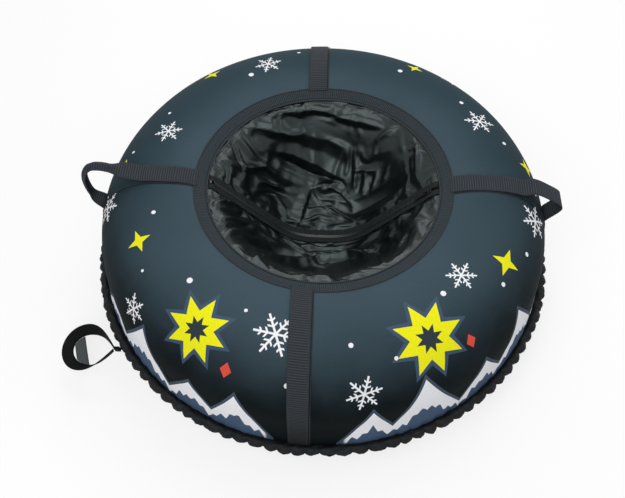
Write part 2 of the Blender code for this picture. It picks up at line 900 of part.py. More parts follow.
def tube_points(wall_inset):
    """Closed section of the inner tube, lying on the base."""
    points = []
    inset = cover_thickness + tube_clearance + wall_inset
    low = base_thickness + joint_gap + wall_inset
    for side in range(tube_sides):
        turn = 2 * math.pi * side / tube_sides
        radius, height = section_point(turn, inset)
        if height < half_height:
            share = (half_height - height) / (half_height - inset)
            height = half_height - share * (half_height - low)
        points.append((radius, height))
    return points


def valve_frame():
    """Z out along the valve stem, from a flat of the inner tube towards the middle of the tube."""
    upper, lower = tube_points(0.0)[tube_sides // 2:][:2]
    radius = (upper[0] + lower[0]) / 2 * math.cos(math.pi / turn_steps)
    height = (upper[1] + lower[1]) / 2
    slope = math.atan2(upper[0] - lower[0], upper[1] - lower[1])
    place = Matrix.Rotation(valve_turn, 4, "Z") @ Matrix.Translation((radius, 0.0, height))
    return place @ Matrix.Rotation(slope - math.pi / 2, 4, "Y")


def drum(build, name, points, finish, frame):
    """A turned piece on the valve's own axis, from radius and height points."""
    item = build.add(name, profile_mesh(name, points[::-1], True), finish)
    screw = item.modifiers.new("Turn", "SCREW")
    screw.steps = round_steps
    screw.render_steps = round_steps
    screw.use_merge_vertices = True
    screw.merge_threshold = 0.00001
    screw.use_smooth_shade = True
    item.matrix_world = frame
    return item


def make_inner_tube(build):
    rubber = material("inner_tube_rubber", (0.012, 0.012, 0.012), 0.55)
    item = turned(build, "inner_tube", tube_points(0.0), rubber, closed=True)
    hollow = build.cutter("inner_tube_air", profile_mesh("inner_tube_air", tube_points(tube_wall), True))
    screw = hollow.modifiers.new("Turn", "SCREW")
    screw.steps = turn_steps
    screw.render_steps = turn_steps
    screw.use_merge_vertices = True
    screw.merge_threshold = 0.00001
    screw.use_normal_calculate = True
    cut(item, hollow)
    shape = bmesh.new()
    bmesh.ops.create_cone(shape, cap_ends=True, segments=round_steps, radius1=valve_hole, radius2=valve_hole,
                          depth=2 * (tube_wall + overrun) + 2 * patch_radius)
    mesh = bpy.data.meshes.new("valve_hole")
    shape.to_mesh(mesh)
    shape.free()
    tool = build.cutter("valve_hole", mesh)
    tool.matrix_world = valve_frame()
    cut(item, tool)


def make_valve(build):
    rubber = material("valve_rubber", (0.015, 0.015, 0.015), 0.6)
    brass = material("valve_brass", (0.55, 0.40, 0.16), 0.3, 1.0)
    plastic = material("valve_cap_plastic", (0.02, 0.02, 0.02), 0.4)
    frame = valve_frame()
    base = joint_gap
    top = base + patch_thickness
    skirt = stem_radius + joint_gap
    drum(build, "valve_patch", [(skirt, base), (patch_radius, base), (patch_radius, top), (skirt, top)],
         rubber, frame)
    end = top + stem_length
    drum(build, "valve_stem", [(stem_bore, base), (stem_radius, base), (stem_radius, end), (stem_bore, end)],
         brass, frame)
    core_outer = stem_bore - joint_gap
    core_top = end - core_recess
    core_low = core_top - core_length
    drum(build, "valve_core", [(core_bore, core_low), (core_outer, core_low), (core_outer, core_top),
                               (core_bore, core_top)], brass, frame)
    pin_low = core_low - joint_gap
    drum(build, "valve_core_pin", [(0.0, pin_low - core_outer), (core_outer - joint_gap, pin_low - core_outer),
                                   (core_outer - joint_gap, pin_low), (pin_radius, pin_low),
                                   (pin_radius, core_top + pin_proud), (0.0, core_top + pin_proud)],
         brass, frame)
    cap_inner = stem_radius + joint_gap
    cap_foot = end + joint_gap + cap_roof - cap_length
    roof = end + joint_gap
    drum(build, "valve_cap", [(cap_inner, cap_foot), (cap_radius, cap_foot), (cap_radius, roof + cap_roof),
                              (0.0, roof + cap_roof), (0.0, roof), (cap_inner, roof)], plastic, frame)


def main():
    clear_scene()
    build = Build()
    webbing = material("black_webbing", (0.012, 0.012, 0.013), 0.8)
    make_base(build)
    make_top_panels(build)
    make_hem(build)
    make_binding(build)
    make_seat(build)
    make_zip_tapes(build)
    make_zip_teeth(build)
    make_zip_stops(build)
    make_slider(build)
    make_pull(build)
    make_straps(build, webbing)
    make_handles(build, webbing)
    make_tow_loop(build, webbing)
    make_inner_tube(build)
    make_valve(build)


main()
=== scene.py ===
"""A snow tube on a pale floor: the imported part, dressed in its cloth, webbing, stitching and print."""

import functools
import json
import math

import bmesh
import bpy
import numpy as np
from mathutils import Matrix, Vector


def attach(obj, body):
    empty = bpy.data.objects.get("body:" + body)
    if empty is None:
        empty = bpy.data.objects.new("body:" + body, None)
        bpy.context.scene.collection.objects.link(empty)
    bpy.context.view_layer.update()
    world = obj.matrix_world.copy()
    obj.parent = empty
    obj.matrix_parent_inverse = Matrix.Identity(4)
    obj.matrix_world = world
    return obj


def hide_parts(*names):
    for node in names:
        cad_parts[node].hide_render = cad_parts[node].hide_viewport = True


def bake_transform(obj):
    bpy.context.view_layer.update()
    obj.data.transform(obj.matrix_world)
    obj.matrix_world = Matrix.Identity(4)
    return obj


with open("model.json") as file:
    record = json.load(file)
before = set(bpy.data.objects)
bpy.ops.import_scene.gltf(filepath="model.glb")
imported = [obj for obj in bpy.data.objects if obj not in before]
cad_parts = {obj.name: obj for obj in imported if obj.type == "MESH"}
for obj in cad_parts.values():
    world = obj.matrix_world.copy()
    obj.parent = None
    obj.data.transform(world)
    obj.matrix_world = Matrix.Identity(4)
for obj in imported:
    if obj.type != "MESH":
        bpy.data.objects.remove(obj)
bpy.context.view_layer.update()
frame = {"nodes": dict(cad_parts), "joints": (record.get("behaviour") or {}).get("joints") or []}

TURN = 2 * math.pi
FRONT, RIGHT, REAR, LEFT = -math.pi / 2, 0.0, math.pi / 2, math.pi

# The inflated ring. All lengths are in metres
RING_RADIUS = 0.320
HALF_WIDTH = 0.150
HALF_HEIGHT = 0.150
SECTION_POWER = 2.2
FLAT_RADIUS = 0.360
GAP = 0.0003

# The gathered hem
HEM_RADIUS = 0.476
HEM_HEIGHT = 0.0745
ROLL_RADIUS = 0.0115
SCALLOPS = 104

# How far the cover's cloth swells, puckers above the hem, and strays there
SWELL = 0.0011
PUCKER = 0.0030
STRAY = 0.0009

# The opening: the seam in it, its number of sides, the inner and outer radius of its binding, and the radius
# where the straps start under that
SEAM_RADIUS = 0.2495
OPENING_SIDES = 40
BINDING = (0.237, 0.262)
STRAP_START = BINDING[1] - 0.004

# The seat's bowl
LEAVE_RADIUS = 0.190
SEAT_BOTTOM = 0.090
CUP_POWER = 2.5
RIM_EASE = 0.012

# The seat's halves: how near the zip their edges and corners come
SEAT_EDGE = 0.009
SEAT_CORNER = 0.015

# The seat's cloth: held this near the zip and beyond this radius, and what the simulation may do to the rest
SEAT_HELD = (0.0175, 0.2375)
SEAT_STANDS_OFF = 0.0045
SEAT_SPARE = 0.040
SEAT_FRAMES = 20
SEAT_LIMIT = 0.007

# The zip: where its line leaves the rim, bends and runs level, how far beside it the seat is level with it
# and then eases back to its bowl, and the edges, rise and thickness of its two tapes
ZIP_END = 0.2350
ZIP_TOP_RADIUS = 0.228
ZIP_BEND = 0.006
ZIP_LOW = (0.100, 0.135)
ZIP_CENTRE_HEIGHT = 0.096
ZIP_LIFT = 0.0013
ZIP_SIDE = 0.018
ZIP_EASE = 0.036
TAPE_EDGES = (0.0035, 0.0165)
TAPE_RISE = 0.0011
TAPE_THICKNESS = 0.0006

# The straps, and how far each lies beside the middle of its side
STRAP_WIDTH = 0.040
STRAP_THICKNESS = 0.0020
STRAP_LIFT = GAP + STRAP_THICKNESS / 2
STRAP_SWELL = 0.0012
FRONT_ASIDE = -0.033
REAR_ASIDE = 0.020
LONG_STRAPS = (("strap_front", FRONT, FRONT_ASIDE), ("strap_rear", REAR, REAR_ASIDE))
SEAM_ASIDE = 0.0222
SEAM_WIDTH = 0.0022
STITCH_LENGTH = 0.0026
STITCH_SIZE = 0.00042
STITCH_ASIDE = 0.0165

# The handles. Each loop's points are shares of its reach, from its upper root to its foot
ROOT_RADIUS = {"left": 0.366, "right": 0.395}
ROOT_LIFT = 0.0065
ROOT_SWELL = 0.0010
ROOT_LENGTH = 0.034
TIP_RADIUS = 0.490
TAIL_TOP = 0.196
FOOT_LEAD = 0.009
GRIP_CUP = 0.0085
LEFT_HANDLE = ((0.36, 0.10), (0.65, 0.19), (0.87, 0.14), (1.0, -0.16), (0.96, -0.58))
RIGHT_HANDLE = ((0.10, -0.01), (0.32, 0.03), (0.68, -0.17), (0.90, -0.33), (0.955, -0.45), (0.90, -0.58),
                (0.81, -0.71))

# The tow loop: it hangs at this half scallop of the hem, and its webbing
# leans this far at its tip and at its neck
TOW_RADIUS = 0.042
TOW_STRETCH = 0.45
TOW_SWING = math.radians(-38.0)
TOW_DROOP = math.radians(10.0)
TOW_WIDTH = 0.024
TOW_NECK = 0.014
TOW_THICKNESS = 0.0020
TOW_ROOT = 0.012
TOW_STEP = 124
TOW_LEAN = (math.radians(12.0), math.radians(75.0))

# The strip across the tow loop: where its ends meet the loop, half the turn that each takes up, and its shape
STRIP_ENDS = (math.radians(-38.0), math.radians(78.0))
STRIP_HALF = math.radians(27.0)
STRIP_FLAT = (0.028, 0.05)
STRIP_RISE = 0.0009

# How many cells each cloth has, one way and the other, and a band has round the opening
COVER_CELLS = (960, 96)
BASE_CELLS = (480, 60)
HEM_CELLS = (18 * SCALLOPS, 22)
BAND_CELLS = 480
SEAT_CELLS = (150, 84)

# The stage
WHITE = (1.0, 1.0, 1.0)
FLOOR_SIZE = 9.0
FLOOR_DROP = 0.0008
FLOOR_GLOW = 0.75
WORLD_LIGHT = 0.36
PICTURE_WIDTH = 625.0
SENSOR_WIDTH = 36.0
FOCAL_PIXELS = 811.27
CAMERA_PLACE = (0.0068, -1.0399, 1.5737)
CAMERA_TARGET = (-0.0224, 0.0, 0.0474)
CAMERA_SWAY = math.radians(0.42)

# Each lamp has its name, its place, what it points at, its size and its power
LAMPS = (
    ("key", (-0.5, -1.5, 2.2), (0.0, -0.1, 0.1), 2.2, 36.0),
    ("top", (0.3, 1.3, 2.3), (0.0, 0.0, 0.2), 2.0, 24.0),
    ("back", (-0.4, 2.7, 1.1), (0.0, 0.0, 0.2), 1.8, 14.0),
    ("side", (2.2, 0.2, 1.7), (0.0, 0.0, 0.1), 1.4, 8.0),
)


# Shapes as numbers


def eased(share):
    share = np.clip(share, 0.0, 1.0)
    return share * share * (3.0 - 2.0 * share)


def mixed(low, high, share):
    return low + (high - low) * share


class Unevenness:
    """Smooth lattice noise from -1 to 1 that repeats every 64 cells."""

    def __init__(self, seed):
        self.table = np.random.default_rng(seed).uniform(-1.0, 1.0, (64, 64))

    def __call__(self, across, along):
        across, along = np.broadcast_arrays(np.asarray(across, float), np.asarray(along, float))
        column, row = np.floor(across).astype(int), np.floor(along).astype(int)
        right, up = eased(across - column), eased(along - row)
        corner = [[self.table[(column + a) % 64, (row + b) % 64] for b in (0, 1)] for a in (0, 1)]
        low = mixed(corner[0][0], corner[1][0], right)
        high = mixed(corner[0][1], corner[1][1], right)
        return mixed(low, high, up)


def section_point(turn, lift=0.0):
    """Radius and height on the cover's section, lifted off its outer face."""
    across, up = np.cos(turn), np.sin(turn)
    power = 2 / SECTION_POWER
    radius = RING_RADIUS + np.sign(across) * np.abs(across) ** power * (HALF_WIDTH + lift)
    height = HALF_HEIGHT + np.sign(up) * np.abs(up) ** power * (HALF_HEIGHT + lift)
    return radius, height


def section_turn(radius):
    share = (radius - RING_RADIUS) / HALF_WIDTH
    return math.acos(math.copysign(abs(share) ** (SECTION_POWER / 2), share))


def turn_at_height(height):
    return math.asin(((height - HALF_HEIGHT) / HALF_HEIGHT) ** (SECTION_POWER / 2))


def section_height(radius, inset=0.0):
    share = np.abs(radius - RING_RADIUS) / (HALF_WIDTH - inset)
    up = np.maximum(1.0 - share**SECTION_POWER, 0.0) ** (1 / SECTION_POWER)
    return HALF_HEIGHT + (HALF_HEIGHT - inset) * up


def how_far(points):
    """The distance along a line of points to each of them."""
    return np.concatenate([[0.0], np.cumsum(np.linalg.norm(np.diff(points, axis=0), axis=1))])


def resampled(points, count):
    """Equal steps along a line of points, and how far along each one lies."""
    points = np.asarray(points, float)
    lengths = how_far(points)
    wanted = np.linspace(0.0, lengths[-1], count)
    return np.stack([np.interp(wanted, lengths, column) for column in points.T], axis=1), wanted


def along_rows(table):
    """A function from a share of the way down a table to each of its columns there."""
    table = np.asarray(table, float)
    index = np.arange(len(table))
    return lambda share: [np.interp(share * (len(table) - 1), index, column) for column in table.T]


def around(radius, turn, height):
    """Places at a radius, a turn round the tube and a height."""
    return radius * np.cos(turn), radius * np.sin(turn), height


def beside(turn, radius, aside, height, lift=0.0):
    """Places at a radius and a height, set aside from the middle line at a turn round the tube."""
    out = np.sqrt(radius**2 - aside**2) + lift
    east, north = math.cos(turn), math.sin(turn)
    return out * east - aside * north, out * north + aside * east, height


def stacked(columns):
    return np.stack(np.broadcast_arrays(*columns), axis=1)


def cover_profile(lift=0.0, start_radius=SEAM_RADIUS, low=HEM_HEIGHT):
    """Radius and height of the cover from a radius near the opening, over the crown and down to a height."""
    turns = np.linspace(section_turn(start_radius), 0.0, 400)
    upper = np.stack(section_point(turns, lift), axis=1)
    heights = np.linspace(HALF_HEIGHT, low, 60)[1:]
    share = (HALF_HEIGHT - heights) / (HALF_HEIGHT - HEM_HEIGHT)
    wall = np.stack([mixed(RING_RADIUS + HALF_WIDTH, HEM_RADIUS, share) + lift, heights], axis=1)
    return np.concatenate([upper, wall])


def base_profile():
    turns = np.linspace(0.0, math.pi / 2, 80)
    power = 2 / SECTION_POWER
    radius = mixed(FLAT_RADIUS, HEM_RADIUS, np.sin(turns) ** power)
    height = mixed(HEM_HEIGHT, 0.0003, np.cos(turns) ** power)
    return np.concatenate([[[0.0, 0.0003]], np.stack([radius, height], axis=1)])


def cup_height(radius):
    radius = np.asarray(radius, float)
    inset = 0.0005
    top = section_height(LEAVE_RADIUS, inset)
    cup = mixed(SEAT_BOTTOM, top, (np.minimum(radius, LEAVE_RADIUS) / LEAVE_RADIUS) ** CUP_POWER)
    return np.where(radius >= LEAVE_RADIUS, section_height(np.maximum(radius, LEAVE_RADIUS), inset), cup)


ZIP_SLOPE = float((cup_height(BINDING[0]) - ZIP_LOW[1]) / (ZIP_TOP_RADIUS - ZIP_LOW[0]))


def zip_height(radius):
    """Height of the seat cloth along the zip."""
    radius = np.asarray(radius, float)
    level = float(cup_height(BINDING[0]))
    bend = (radius - ZIP_TOP_RADIUS) / ZIP_BEND + 1.0
    rounded = level - ZIP_SLOPE * ZIP_BEND / 4 * np.maximum(0.0, 2.0 - bend) ** 2
    straight = ZIP_LOW[1] + ZIP_SLOPE * (radius - ZIP_LOW[0])
    rise = ZIP_LOW[1] - ZIP_CENTRE_HEIGHT
    share = np.minimum(radius, ZIP_LOW[0]) / ZIP_LOW[0]
    low = ZIP_CENTRE_HEIGHT + rise * share ** (ZIP_SLOPE * ZIP_LOW[0] / rise)
    found = np.where(radius >= ZIP_LOW[0], straight, low)
    found = np.where(bend > 0.0, rounded, found)
    return np.where(radius >= BINDING[0], cup_height(radius), found)


def seat_height(across, along):
    """Height of the seat cloth without its folds."""
    away = np.abs(along)
    radius = np.hypot(across, away)
    near = np.hypot(across, away * eased((away - ZIP_SIDE) / ZIP_EASE))
    rim = eased((radius - SEAM_RADIUS) / RIM_EASE + 1.0)
    height = mixed(cup_height(near), cup_height(radius), rim)
    lift = np.maximum(0.0, zip_height(near) - cup_height(near))
    return height + lift * (1.0 - eased((away - ZIP_SIDE) / (2 * ZIP_EASE)))


def roll_size(turn):
    """Roll radius of the hem round the tube: full on the bulges, drawn in at the gathers."""
    uneven = np.sin(5 * turn + 0.6) * np.sin(17 * turn) + 0.6 * np.sin(29 * turn + 1.1)
    size = ROLL_RADIUS * (1.0 - 0.16 * (0.5 + 0.3 * uneven))
    bulge = np.abs(np.cos(SCALLOPS * turn / 2))
    return size * mixed(0.62, 1.0, bulge**0.75)


# Meshes


def rework(mesh, operator, element=None, **settings):
    """Runs one bmesh operator on a mesh, and on all its verts or faces if so told."""
    shape = bmesh.new()
    shape.from_mesh(mesh)
    if element:
        settings[element] = getattr(shape, element)
    operator(shape, **settings)
    shape.to_mesh(mesh)
    shape.free()


def smooth(mesh):
    mesh.polygons.foreach_set("use_smooth", np.ones(len(mesh.polygons), bool))


def places_of(points, kind="co"):
    """The coordinates or normals of a mesh's points, one row for each."""
    found = np.empty(3 * len(points))
    points.foreach_get(kind, found)
    return found.reshape(-1, 3)


def mesh_from_grid(name, cells, place, uv=None, closed=False):
    """A sheet of cells. place turns shares across and along into points, and uv into flat places."""
    mesh = bpy.data.meshes.new(name)
    rework(mesh, bmesh.ops.create_grid, x_segments=cells[0], y_segments=cells[1], size=0.5)
    across, along, _ = places_of(mesh.vertices).T + 0.5
    mesh.vertices.foreach_set("co", stacked(place(across, along)).ravel())
    if uv:
        corner = np.empty(len(mesh.loops), int)
        mesh.loops.foreach_get("vertex_index", corner)
        layer = mesh.uv_layers.new(name="cloth")
        layer.data.foreach_set("uv", stacked(uv(across, along))[corner].ravel())
    if closed:
        rework(mesh, bmesh.ops.remove_doubles, "verts", dist=1e-6)
    smooth(mesh)
    mesh.update()
    return mesh


def face_outwards(mesh, middle):
    """Turns a sheet's faces away from a point inside it."""
    middle = Vector(middle)
    total = sum((face.center - middle).dot(face.normal) * face.area for face in mesh.polygons)
    if total < 0.0:
        mesh.flip_normals()


def link(name, data):
    item = bpy.data.objects.new(name, data)
    bpy.context.scene.collection.objects.link(item)
    return item


def add_piece(name, mesh, finish, body="cover", nodes=(), thickness=0.0):
    piece = link(name, mesh)
    mesh.materials.append(finish)
    if thickness:
        wall = piece.modifiers.new("Thickness", "SOLIDIFY")
        wall.thickness = thickness
        wall.offset = 0.0
        wall.use_even_offset = False
    if body:
        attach(piece, body)
    if nodes:
        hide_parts(*nodes)
    return piece


def apply_modifiers(piece):
    graph = bpy.context.evaluated_depsgraph_get()
    mesh = bpy.data.meshes.new_from_object(piece.evaluated_get(graph))
    mesh.name = piece.data.name
    piece.modifiers.clear()
    piece.data = mesh


# Materials


class Value:
    """A shader socket whose sums and products become Math nodes."""

    def __init__(self, nodes, socket):
        self.nodes = nodes
        self.socket = socket

    def math(self, operation, *others, flipped=False):
        values = [*others, self] if flipped else [self, *others]
        return self.nodes.node("ShaderNodeMath", {"operation": operation}, dict(enumerate(values)))

    def __rsub__(self, other):
        return self.math("SUBTRACT", other, flipped=True)

    def ramp(self, start, end):
        """0 at the start to 1 at the end, smoothly."""
        return self.nodes.node("ShaderNodeMapRange", {"interpolation_type": "SMOOTHSTEP"},
                               {"Value": self, "From Min": start, "From Max": end})

    def above(self, edge, soft):
        return self.ramp(edge - soft / 2, edge + soft / 2)

    def below(self, edge, soft):
        return 1.0 - self.above(edge, soft)

    def ribs(self, pitch):
        """A wave from 0 to 1 at a pitch."""
        return (self * (TURN / pitch)).sine() * 0.5 + 0.5

    def between(self, low, high):
        """A share turned into a value from the low to the high one."""
        return self * (high - low) + low


for method, operation in (
    ("__add__", "ADD"), ("__sub__", "SUBTRACT"), ("__mul__", "MULTIPLY"), ("__truediv__", "DIVIDE"),
    ("__abs__", "ABSOLUTE"), ("sine", "SINE"), ("cosine", "COSINE"), ("root", "SQRT"), ("angle", "ARCTAN2"),
    ("least", "MINIMUM"), ("most", "MAXIMUM"), ("fraction", "FRACT"),
):
    setattr(Value, method, functools.partialmethod(Value.math, operation))


def strongest(masks):
    return functools.reduce(Value.most, masks)


def distance(across, along):
    return (across * across + along * along).root()


class Nodes:
    """The nodes of a material or of the world, each made with its settings and sockets in one call."""

    def __init__(self, tree):
        self.tree = tree

    def node(self, kind, settings=None, sockets=None, output=0):
        made = self.tree.nodes.new(kind)
        for name, value in (settings or {}).items():
            setattr(made, name, value)
        for name, value in (sockets or {}).items():
            self.feed(made.inputs[name], value)
        return Value(self, made.outputs[output])

    def feed(self, socket, value):
        if isinstance(value, Value):
            self.tree.links.new(value.socket, socket)
        elif isinstance(value, tuple) and len(value) == 3 and socket.type == "RGBA":
            socket.default_value = (*value, 1.0)
        else:
            socket.default_value = value

    def show_to_the_eye(self, plain, shown, share, output):
        """Mixes one shader into another for the camera's rays and those that mirrors and glass send on."""
        ray = self.tree.nodes.new("ShaderNodeLightPath")
        kinds = ("Is Camera Ray", "Is Glossy Ray", "Is Transmission Ray")
        seen = strongest([Value(self, ray.outputs[kind]) for kind in kinds]) * share
        both = self.node("ShaderNodeMixShader", None, {0: seen, 1: Value(self, plain), 2: shown})
        self.feed(self.tree.nodes[output].inputs["Surface"], both)


class Finish(Nodes):
    """A material whose Principled shader is fed by nodes made here."""

    def __init__(self, name, **constants):
        self.material = bpy.data.materials.new(name)
        self.material.use_nodes = True
        super().__init__(self.material.node_tree)
        self.shader = self.tree.nodes["Principled BSDF"]
        for socket, value in constants.items():
            self.output(socket.replace("_", " "), value)

    def output(self, name, value):
        self.feed(self.shader.inputs[name], value)

    def place(self):
        """The Object coordinates."""
        return self.node("ShaderNodeTexCoord", output="Object")

    def flat(self):
        """The cloth's own flat coordinates in metres, as two numbers."""
        return self.parts(self.node("ShaderNodeUVMap", {"uv_map": "cloth"}))[:2]

    def parts(self, vector):
        split = self.tree.nodes.new("ShaderNodeSeparateXYZ")
        self.feed(split.inputs[0], vector)
        return tuple(Value(self, output) for output in split.outputs)

    def noise(self, vector, scale, detail=3.0, roughness=0.5, distortion=0.0):
        return self.node("ShaderNodeTexNoise", None,
                         {"Vector": vector, "Scale": scale, "Detail": detail, "Roughness": roughness,
                          "Distortion": distortion})

    def flat_noise(self, across, along, detail=2.0, roughness=0.5):
        """Noise over the flat cloth, from its already scaled coordinates."""
        flat = self.node("ShaderNodeCombineXYZ", None, {0: across, 1: along})
        return self.noise(flat, 1.0, detail, roughness)

    def colour(self, share, low, high):
        return self.node("ShaderNodeMix", {"data_type": "RGBA"}, {0: share, 6: low, 7: high}, output=2)

    def bump(self, height, strength, distance):
        self.output("Normal", self.node("ShaderNodeBump", None,
                                        {"Height": height, "Strength": strength, "Distance": distance}))


def weave(across, along, pitch):
    """Crossing threads of a plain weave, from 0 to 1."""
    return (across * (TURN / pitch)).sine() * (along * (TURN / pitch)).sine() * 0.5 + 0.5


class Print:
    """Flat shapes of the cover's winter print, as masks over the developed cloth."""

    SOFT = 0.0007

    def __init__(self, across, along):
        self.across = across
        self.along = along

    def spot(self, bearing, reach, tilt=0.0):
        """Coordinates round a point at a bearing in degrees from the front, turned by a tilt in degrees."""
        turn = math.radians(bearing - 90.0)
        east = self.across - reach * math.cos(turn)
        north = self.along - reach * math.sin(turn)
        lean = turn + math.pi / 2 + math.radians(tilt)
        return (east * math.cos(lean) + north * math.sin(lean),
                north * math.cos(lean) - east * math.sin(lean))

    def folded(self, east, north, points):
        """The same place in one half of one of several equal points of a star, and how far out it is."""
        radius = distance(east, north)
        share = north.angle(east) * (points / TURN) + 0.5 + points
        turn = (share.fraction() - 0.5) * (TURN / points)
        return radius * turn.cosine(), abs(radius * turn.sine()), radius

    def star(self, bearing, reach, size, tilt, points, waist):
        along, aside, _ = self.folded(*self.spot(bearing, reach, tilt), points)
        corner = math.pi / points
        low, high = waist * math.cos(corner), waist * math.sin(corner)
        length = math.hypot(1.0 - low, high)
        edge = along * (high / length) + aside * ((1.0 - low) / length)
        return edge.below(size * high / length, self.SOFT)

    def flake(self, bearing, reach, size, width, tilt):
        """A six-armed ice crystal of thin bars."""
        along, aside, radius = self.folded(*self.spot(bearing, reach, tilt), 6)
        bars = [aside.below(width, self.SOFT) * along.below(size, self.SOFT)]
        for share, length in ((0.36, 0.26), (0.64, 0.20)):
            slant = abs((along - share * size) * 0.866 - aside * 0.5)
            bars.append(slant.below(width * 0.8, self.SOFT) * aside.below(length * size * 0.87, self.SOFT))
        return strongest(bars) * radius.below(size, self.SOFT)

    def dot(self, bearing, reach, size):
        return distance(*self.spot(bearing, reach)).below(size, self.SOFT)

    def diamond(self, bearing, reach, size):
        east, north = self.spot(bearing, reach)
        return (abs(east) * 1.35 + abs(north)).below(size, self.SOFT)

    def peaks(self, tops, foot):
        """The height above a ring, that of its skyline of triangles, and the bearing."""
        bearing = self.along.angle(self.across) * (360.0 / TURN) + 90.0
        up = foot - distance(self.across, self.along)
        bearing = ((bearing + 180.0) / 360.0).fraction() * 360.0 - 180.0
        sides = [(1.0 - abs(bearing - middle) / half) * height for middle, height, half in tops]
        return up, strongest(sides), bearing


CLOTH_LIGHT = (0.052, 0.082, 0.104)
CLOTH_MIDDLE = (0.022, 0.043, 0.055)
CLOTH_DARK_TONE_AND_SHADE = (0.0016, 0.0040, 0.0050)
PRINT_WHITE = (0.86, 0.87, 0.90)
PRINT_YELLOW = (0.86, 0.84, 0.012)
PRINT_SLATE = (0.060, 0.100, 0.170)
PRINT_CORAL = (0.72, 0.085, 0.055)
PRINT_SHADE = (0.10, 0.14, 0.20)
PRINT_INNER = (0.030, 0.045, 0.052)

# The print. Each shape has its bearing in degrees from the front and its reach over the cloth. Then a star
# has its size and tilt, and a big one the size of the dark star inside it; a flake its size, the width of its
# bars and its tilt; a diamond its size. A mountain has its bearing, its height and half its width in degrees
BIG_STARS = ((-33, 0.412, 0.064, 0, 0.026), (30, 0.405, 0.070, 6, 0.028))
STAR_RIM = 0.014
SMALL_STARS = ((-66, 0.390, 0.026, 0), (63, 0.400, 0.030, 10), (-96, 0.43, 0.022, 0), (101, 0.45, 0.026, 0),
               (150, 0.40, 0.020, 0), (-140, 0.41, 0.022, 0))
FLAKES = ((-12, 0.365, 0.042, 0.0021, 0), (11, 0.470, 0.036, 0.0019, 12), (-52, 0.475, 0.032, 0.0016, 0),
          (50, 0.345, 0.030, 0.0016, 14), (82, 0.445, 0.040, 0.0020, 0), (-84, 0.465, 0.038, 0.0019, 8),
          (-110, 0.355, 0.030, 0.0015, 0), (118, 0.375, 0.034, 0.0016, 5), (140, 0.460, 0.034, 0.0016, 0),
          (-158, 0.360, 0.030, 0.0015, 0), (-125, 0.480, 0.034, 0.0016, 0), (165, 0.47, 0.032, 0.0016, 0))
DOTS = (-74, -57, -44, -23, -7, 9, 20, 41, 57, 70, 92, 108, 128, 153, 172, -170, -150, -118, -101)
DIAMONDS = ((-22, 0.455, 0.016), (40, 0.450, 0.015), (-5.5, 0.435, 0.012))
MOUNTAINS = ((-62, 0.105, 10), (-47, 0.150, 12), (-31, 0.110, 10), (-19, 0.135, 9.5), (13, 0.120, 8.5),
             (26, 0.165, 12), (43, 0.120, 10), (57, 0.155, 12), (74, 0.105, 9))
MOUNTAIN_FOOT = 0.640


def print_layers(across, along):
    """The print's masks and colours, from the lowest layer up."""
    sheet = Print(across, along)
    up, skyline, bearing = sheet.peaks(MOUNTAINS, MOUNTAIN_FOOT)
    jag = abs((bearing * 0.42).fraction() - 0.5) * 0.030 + abs((bearing * 0.19).fraction() - 0.5) * 0.026
    hills = (skyline - up).above(0.0, sheet.SOFT)
    caps = hills * (up - skyline * 0.52 + jag - 0.012).above(0.0, sheet.SOFT) * skyline.above(0.030, 0.012)
    halo = (skyline + 0.012 - up).above(0.0, sheet.SOFT) * skyline.above(0.004, 0.004)
    stars = [sheet.star(*star[:4], 8, 0.54) for star in BIG_STARS]
    stars += [sheet.star(*star, 4, 0.36) for star in SMALL_STARS]
    rims = [sheet.star(at, reach, size + STAR_RIM, tilt, 8, 0.58) for at, reach, size, tilt, _ in BIG_STARS]
    inner = [sheet.star(at, reach, size, tilt, 8, 0.52) for at, reach, _, tilt, size in BIG_STARS]
    rng = np.random.default_rng(11)
    white = [sheet.flake(*flake) for flake in FLAKES]
    white += [sheet.dot(at, float(rng.uniform(0.33, 0.46)), float(rng.uniform(0.003, 0.006))) for at in DOTS]
    coral = [sheet.diamond(*diamond) for diamond in DIAMONDS]
    return ((halo * 0.55, PRINT_SHADE), (hills, PRINT_SLATE), (caps, PRINT_WHITE),
            (strongest(rims) * 0.8, PRINT_SLATE), (strongest(stars), PRINT_YELLOW),
            (strongest(inner), PRINT_INNER), (strongest(white), PRINT_WHITE), (strongest(coral), PRINT_CORAL))


def cover_cloth():
    """Printed cloth that darkens down the ring and towards the front: partly its printed tone, partly painted
    shade.
    """
    finish = Finish("printed_cover_cloth", Specular_IOR_Level=0.05)
    across, along = finish.flat()
    place = finish.place()
    forwards = finish.parts(place)[1] * -1.0
    radius = distance(across, along)
    mottle = finish.noise(place, 9.0, 4.0, 0.6) - 0.5
    outer = (radius + mottle * 0.08).ramp(0.34, 0.53)
    inner = (radius + mottle * 0.05).ramp(0.255, 0.37)
    patches = finish.noise(place, 3.2, 2.0, 0.5).ramp(0.38, 0.68)
    # Past the opening the ground turns to the middle tone, less at the front: painted light and shade
    ink = finish.colour(inner * (0.80 - forwards.ramp(-0.10, 0.28) * 0.62), CLOTH_LIGHT, CLOTH_MIDDLE)
    ink = finish.colour(patches * 0.30, ink, CLOTH_MIDDLE)
    # Darker down the ring: partly the printed tone, partly painted shade; the stronger darkening at the front
    # is painted shade
    ink = finish.colour(outer * (forwards.ramp(-0.34, 0.26) * 0.70 + 0.30), ink, CLOTH_DARK_TONE_AND_SHADE)
    for mask, colour in print_layers(across, along):
        ink = finish.colour(mask, ink, colour)
    threads = weave(across, along, 0.0011)
    slubs = finish.flat_noise(across * 900.0, along * 160.0)
    shade = threads.between(0.86, 1.0) * slubs.between(0.84, 1.12)
    ink = finish.node("ShaderNodeVectorMath", {"operation": "SCALE"}, {0: ink, "Scale": shade})
    finish.output("Base Color", ink)
    finish.output("Roughness", slubs.between(0.62, 0.82))
    finish.bump(threads * 0.12 + finish.noise(place, 26.0, 4.0, 0.55, 0.4) * 0.9, 0.55, 0.0009)
    return finish.material


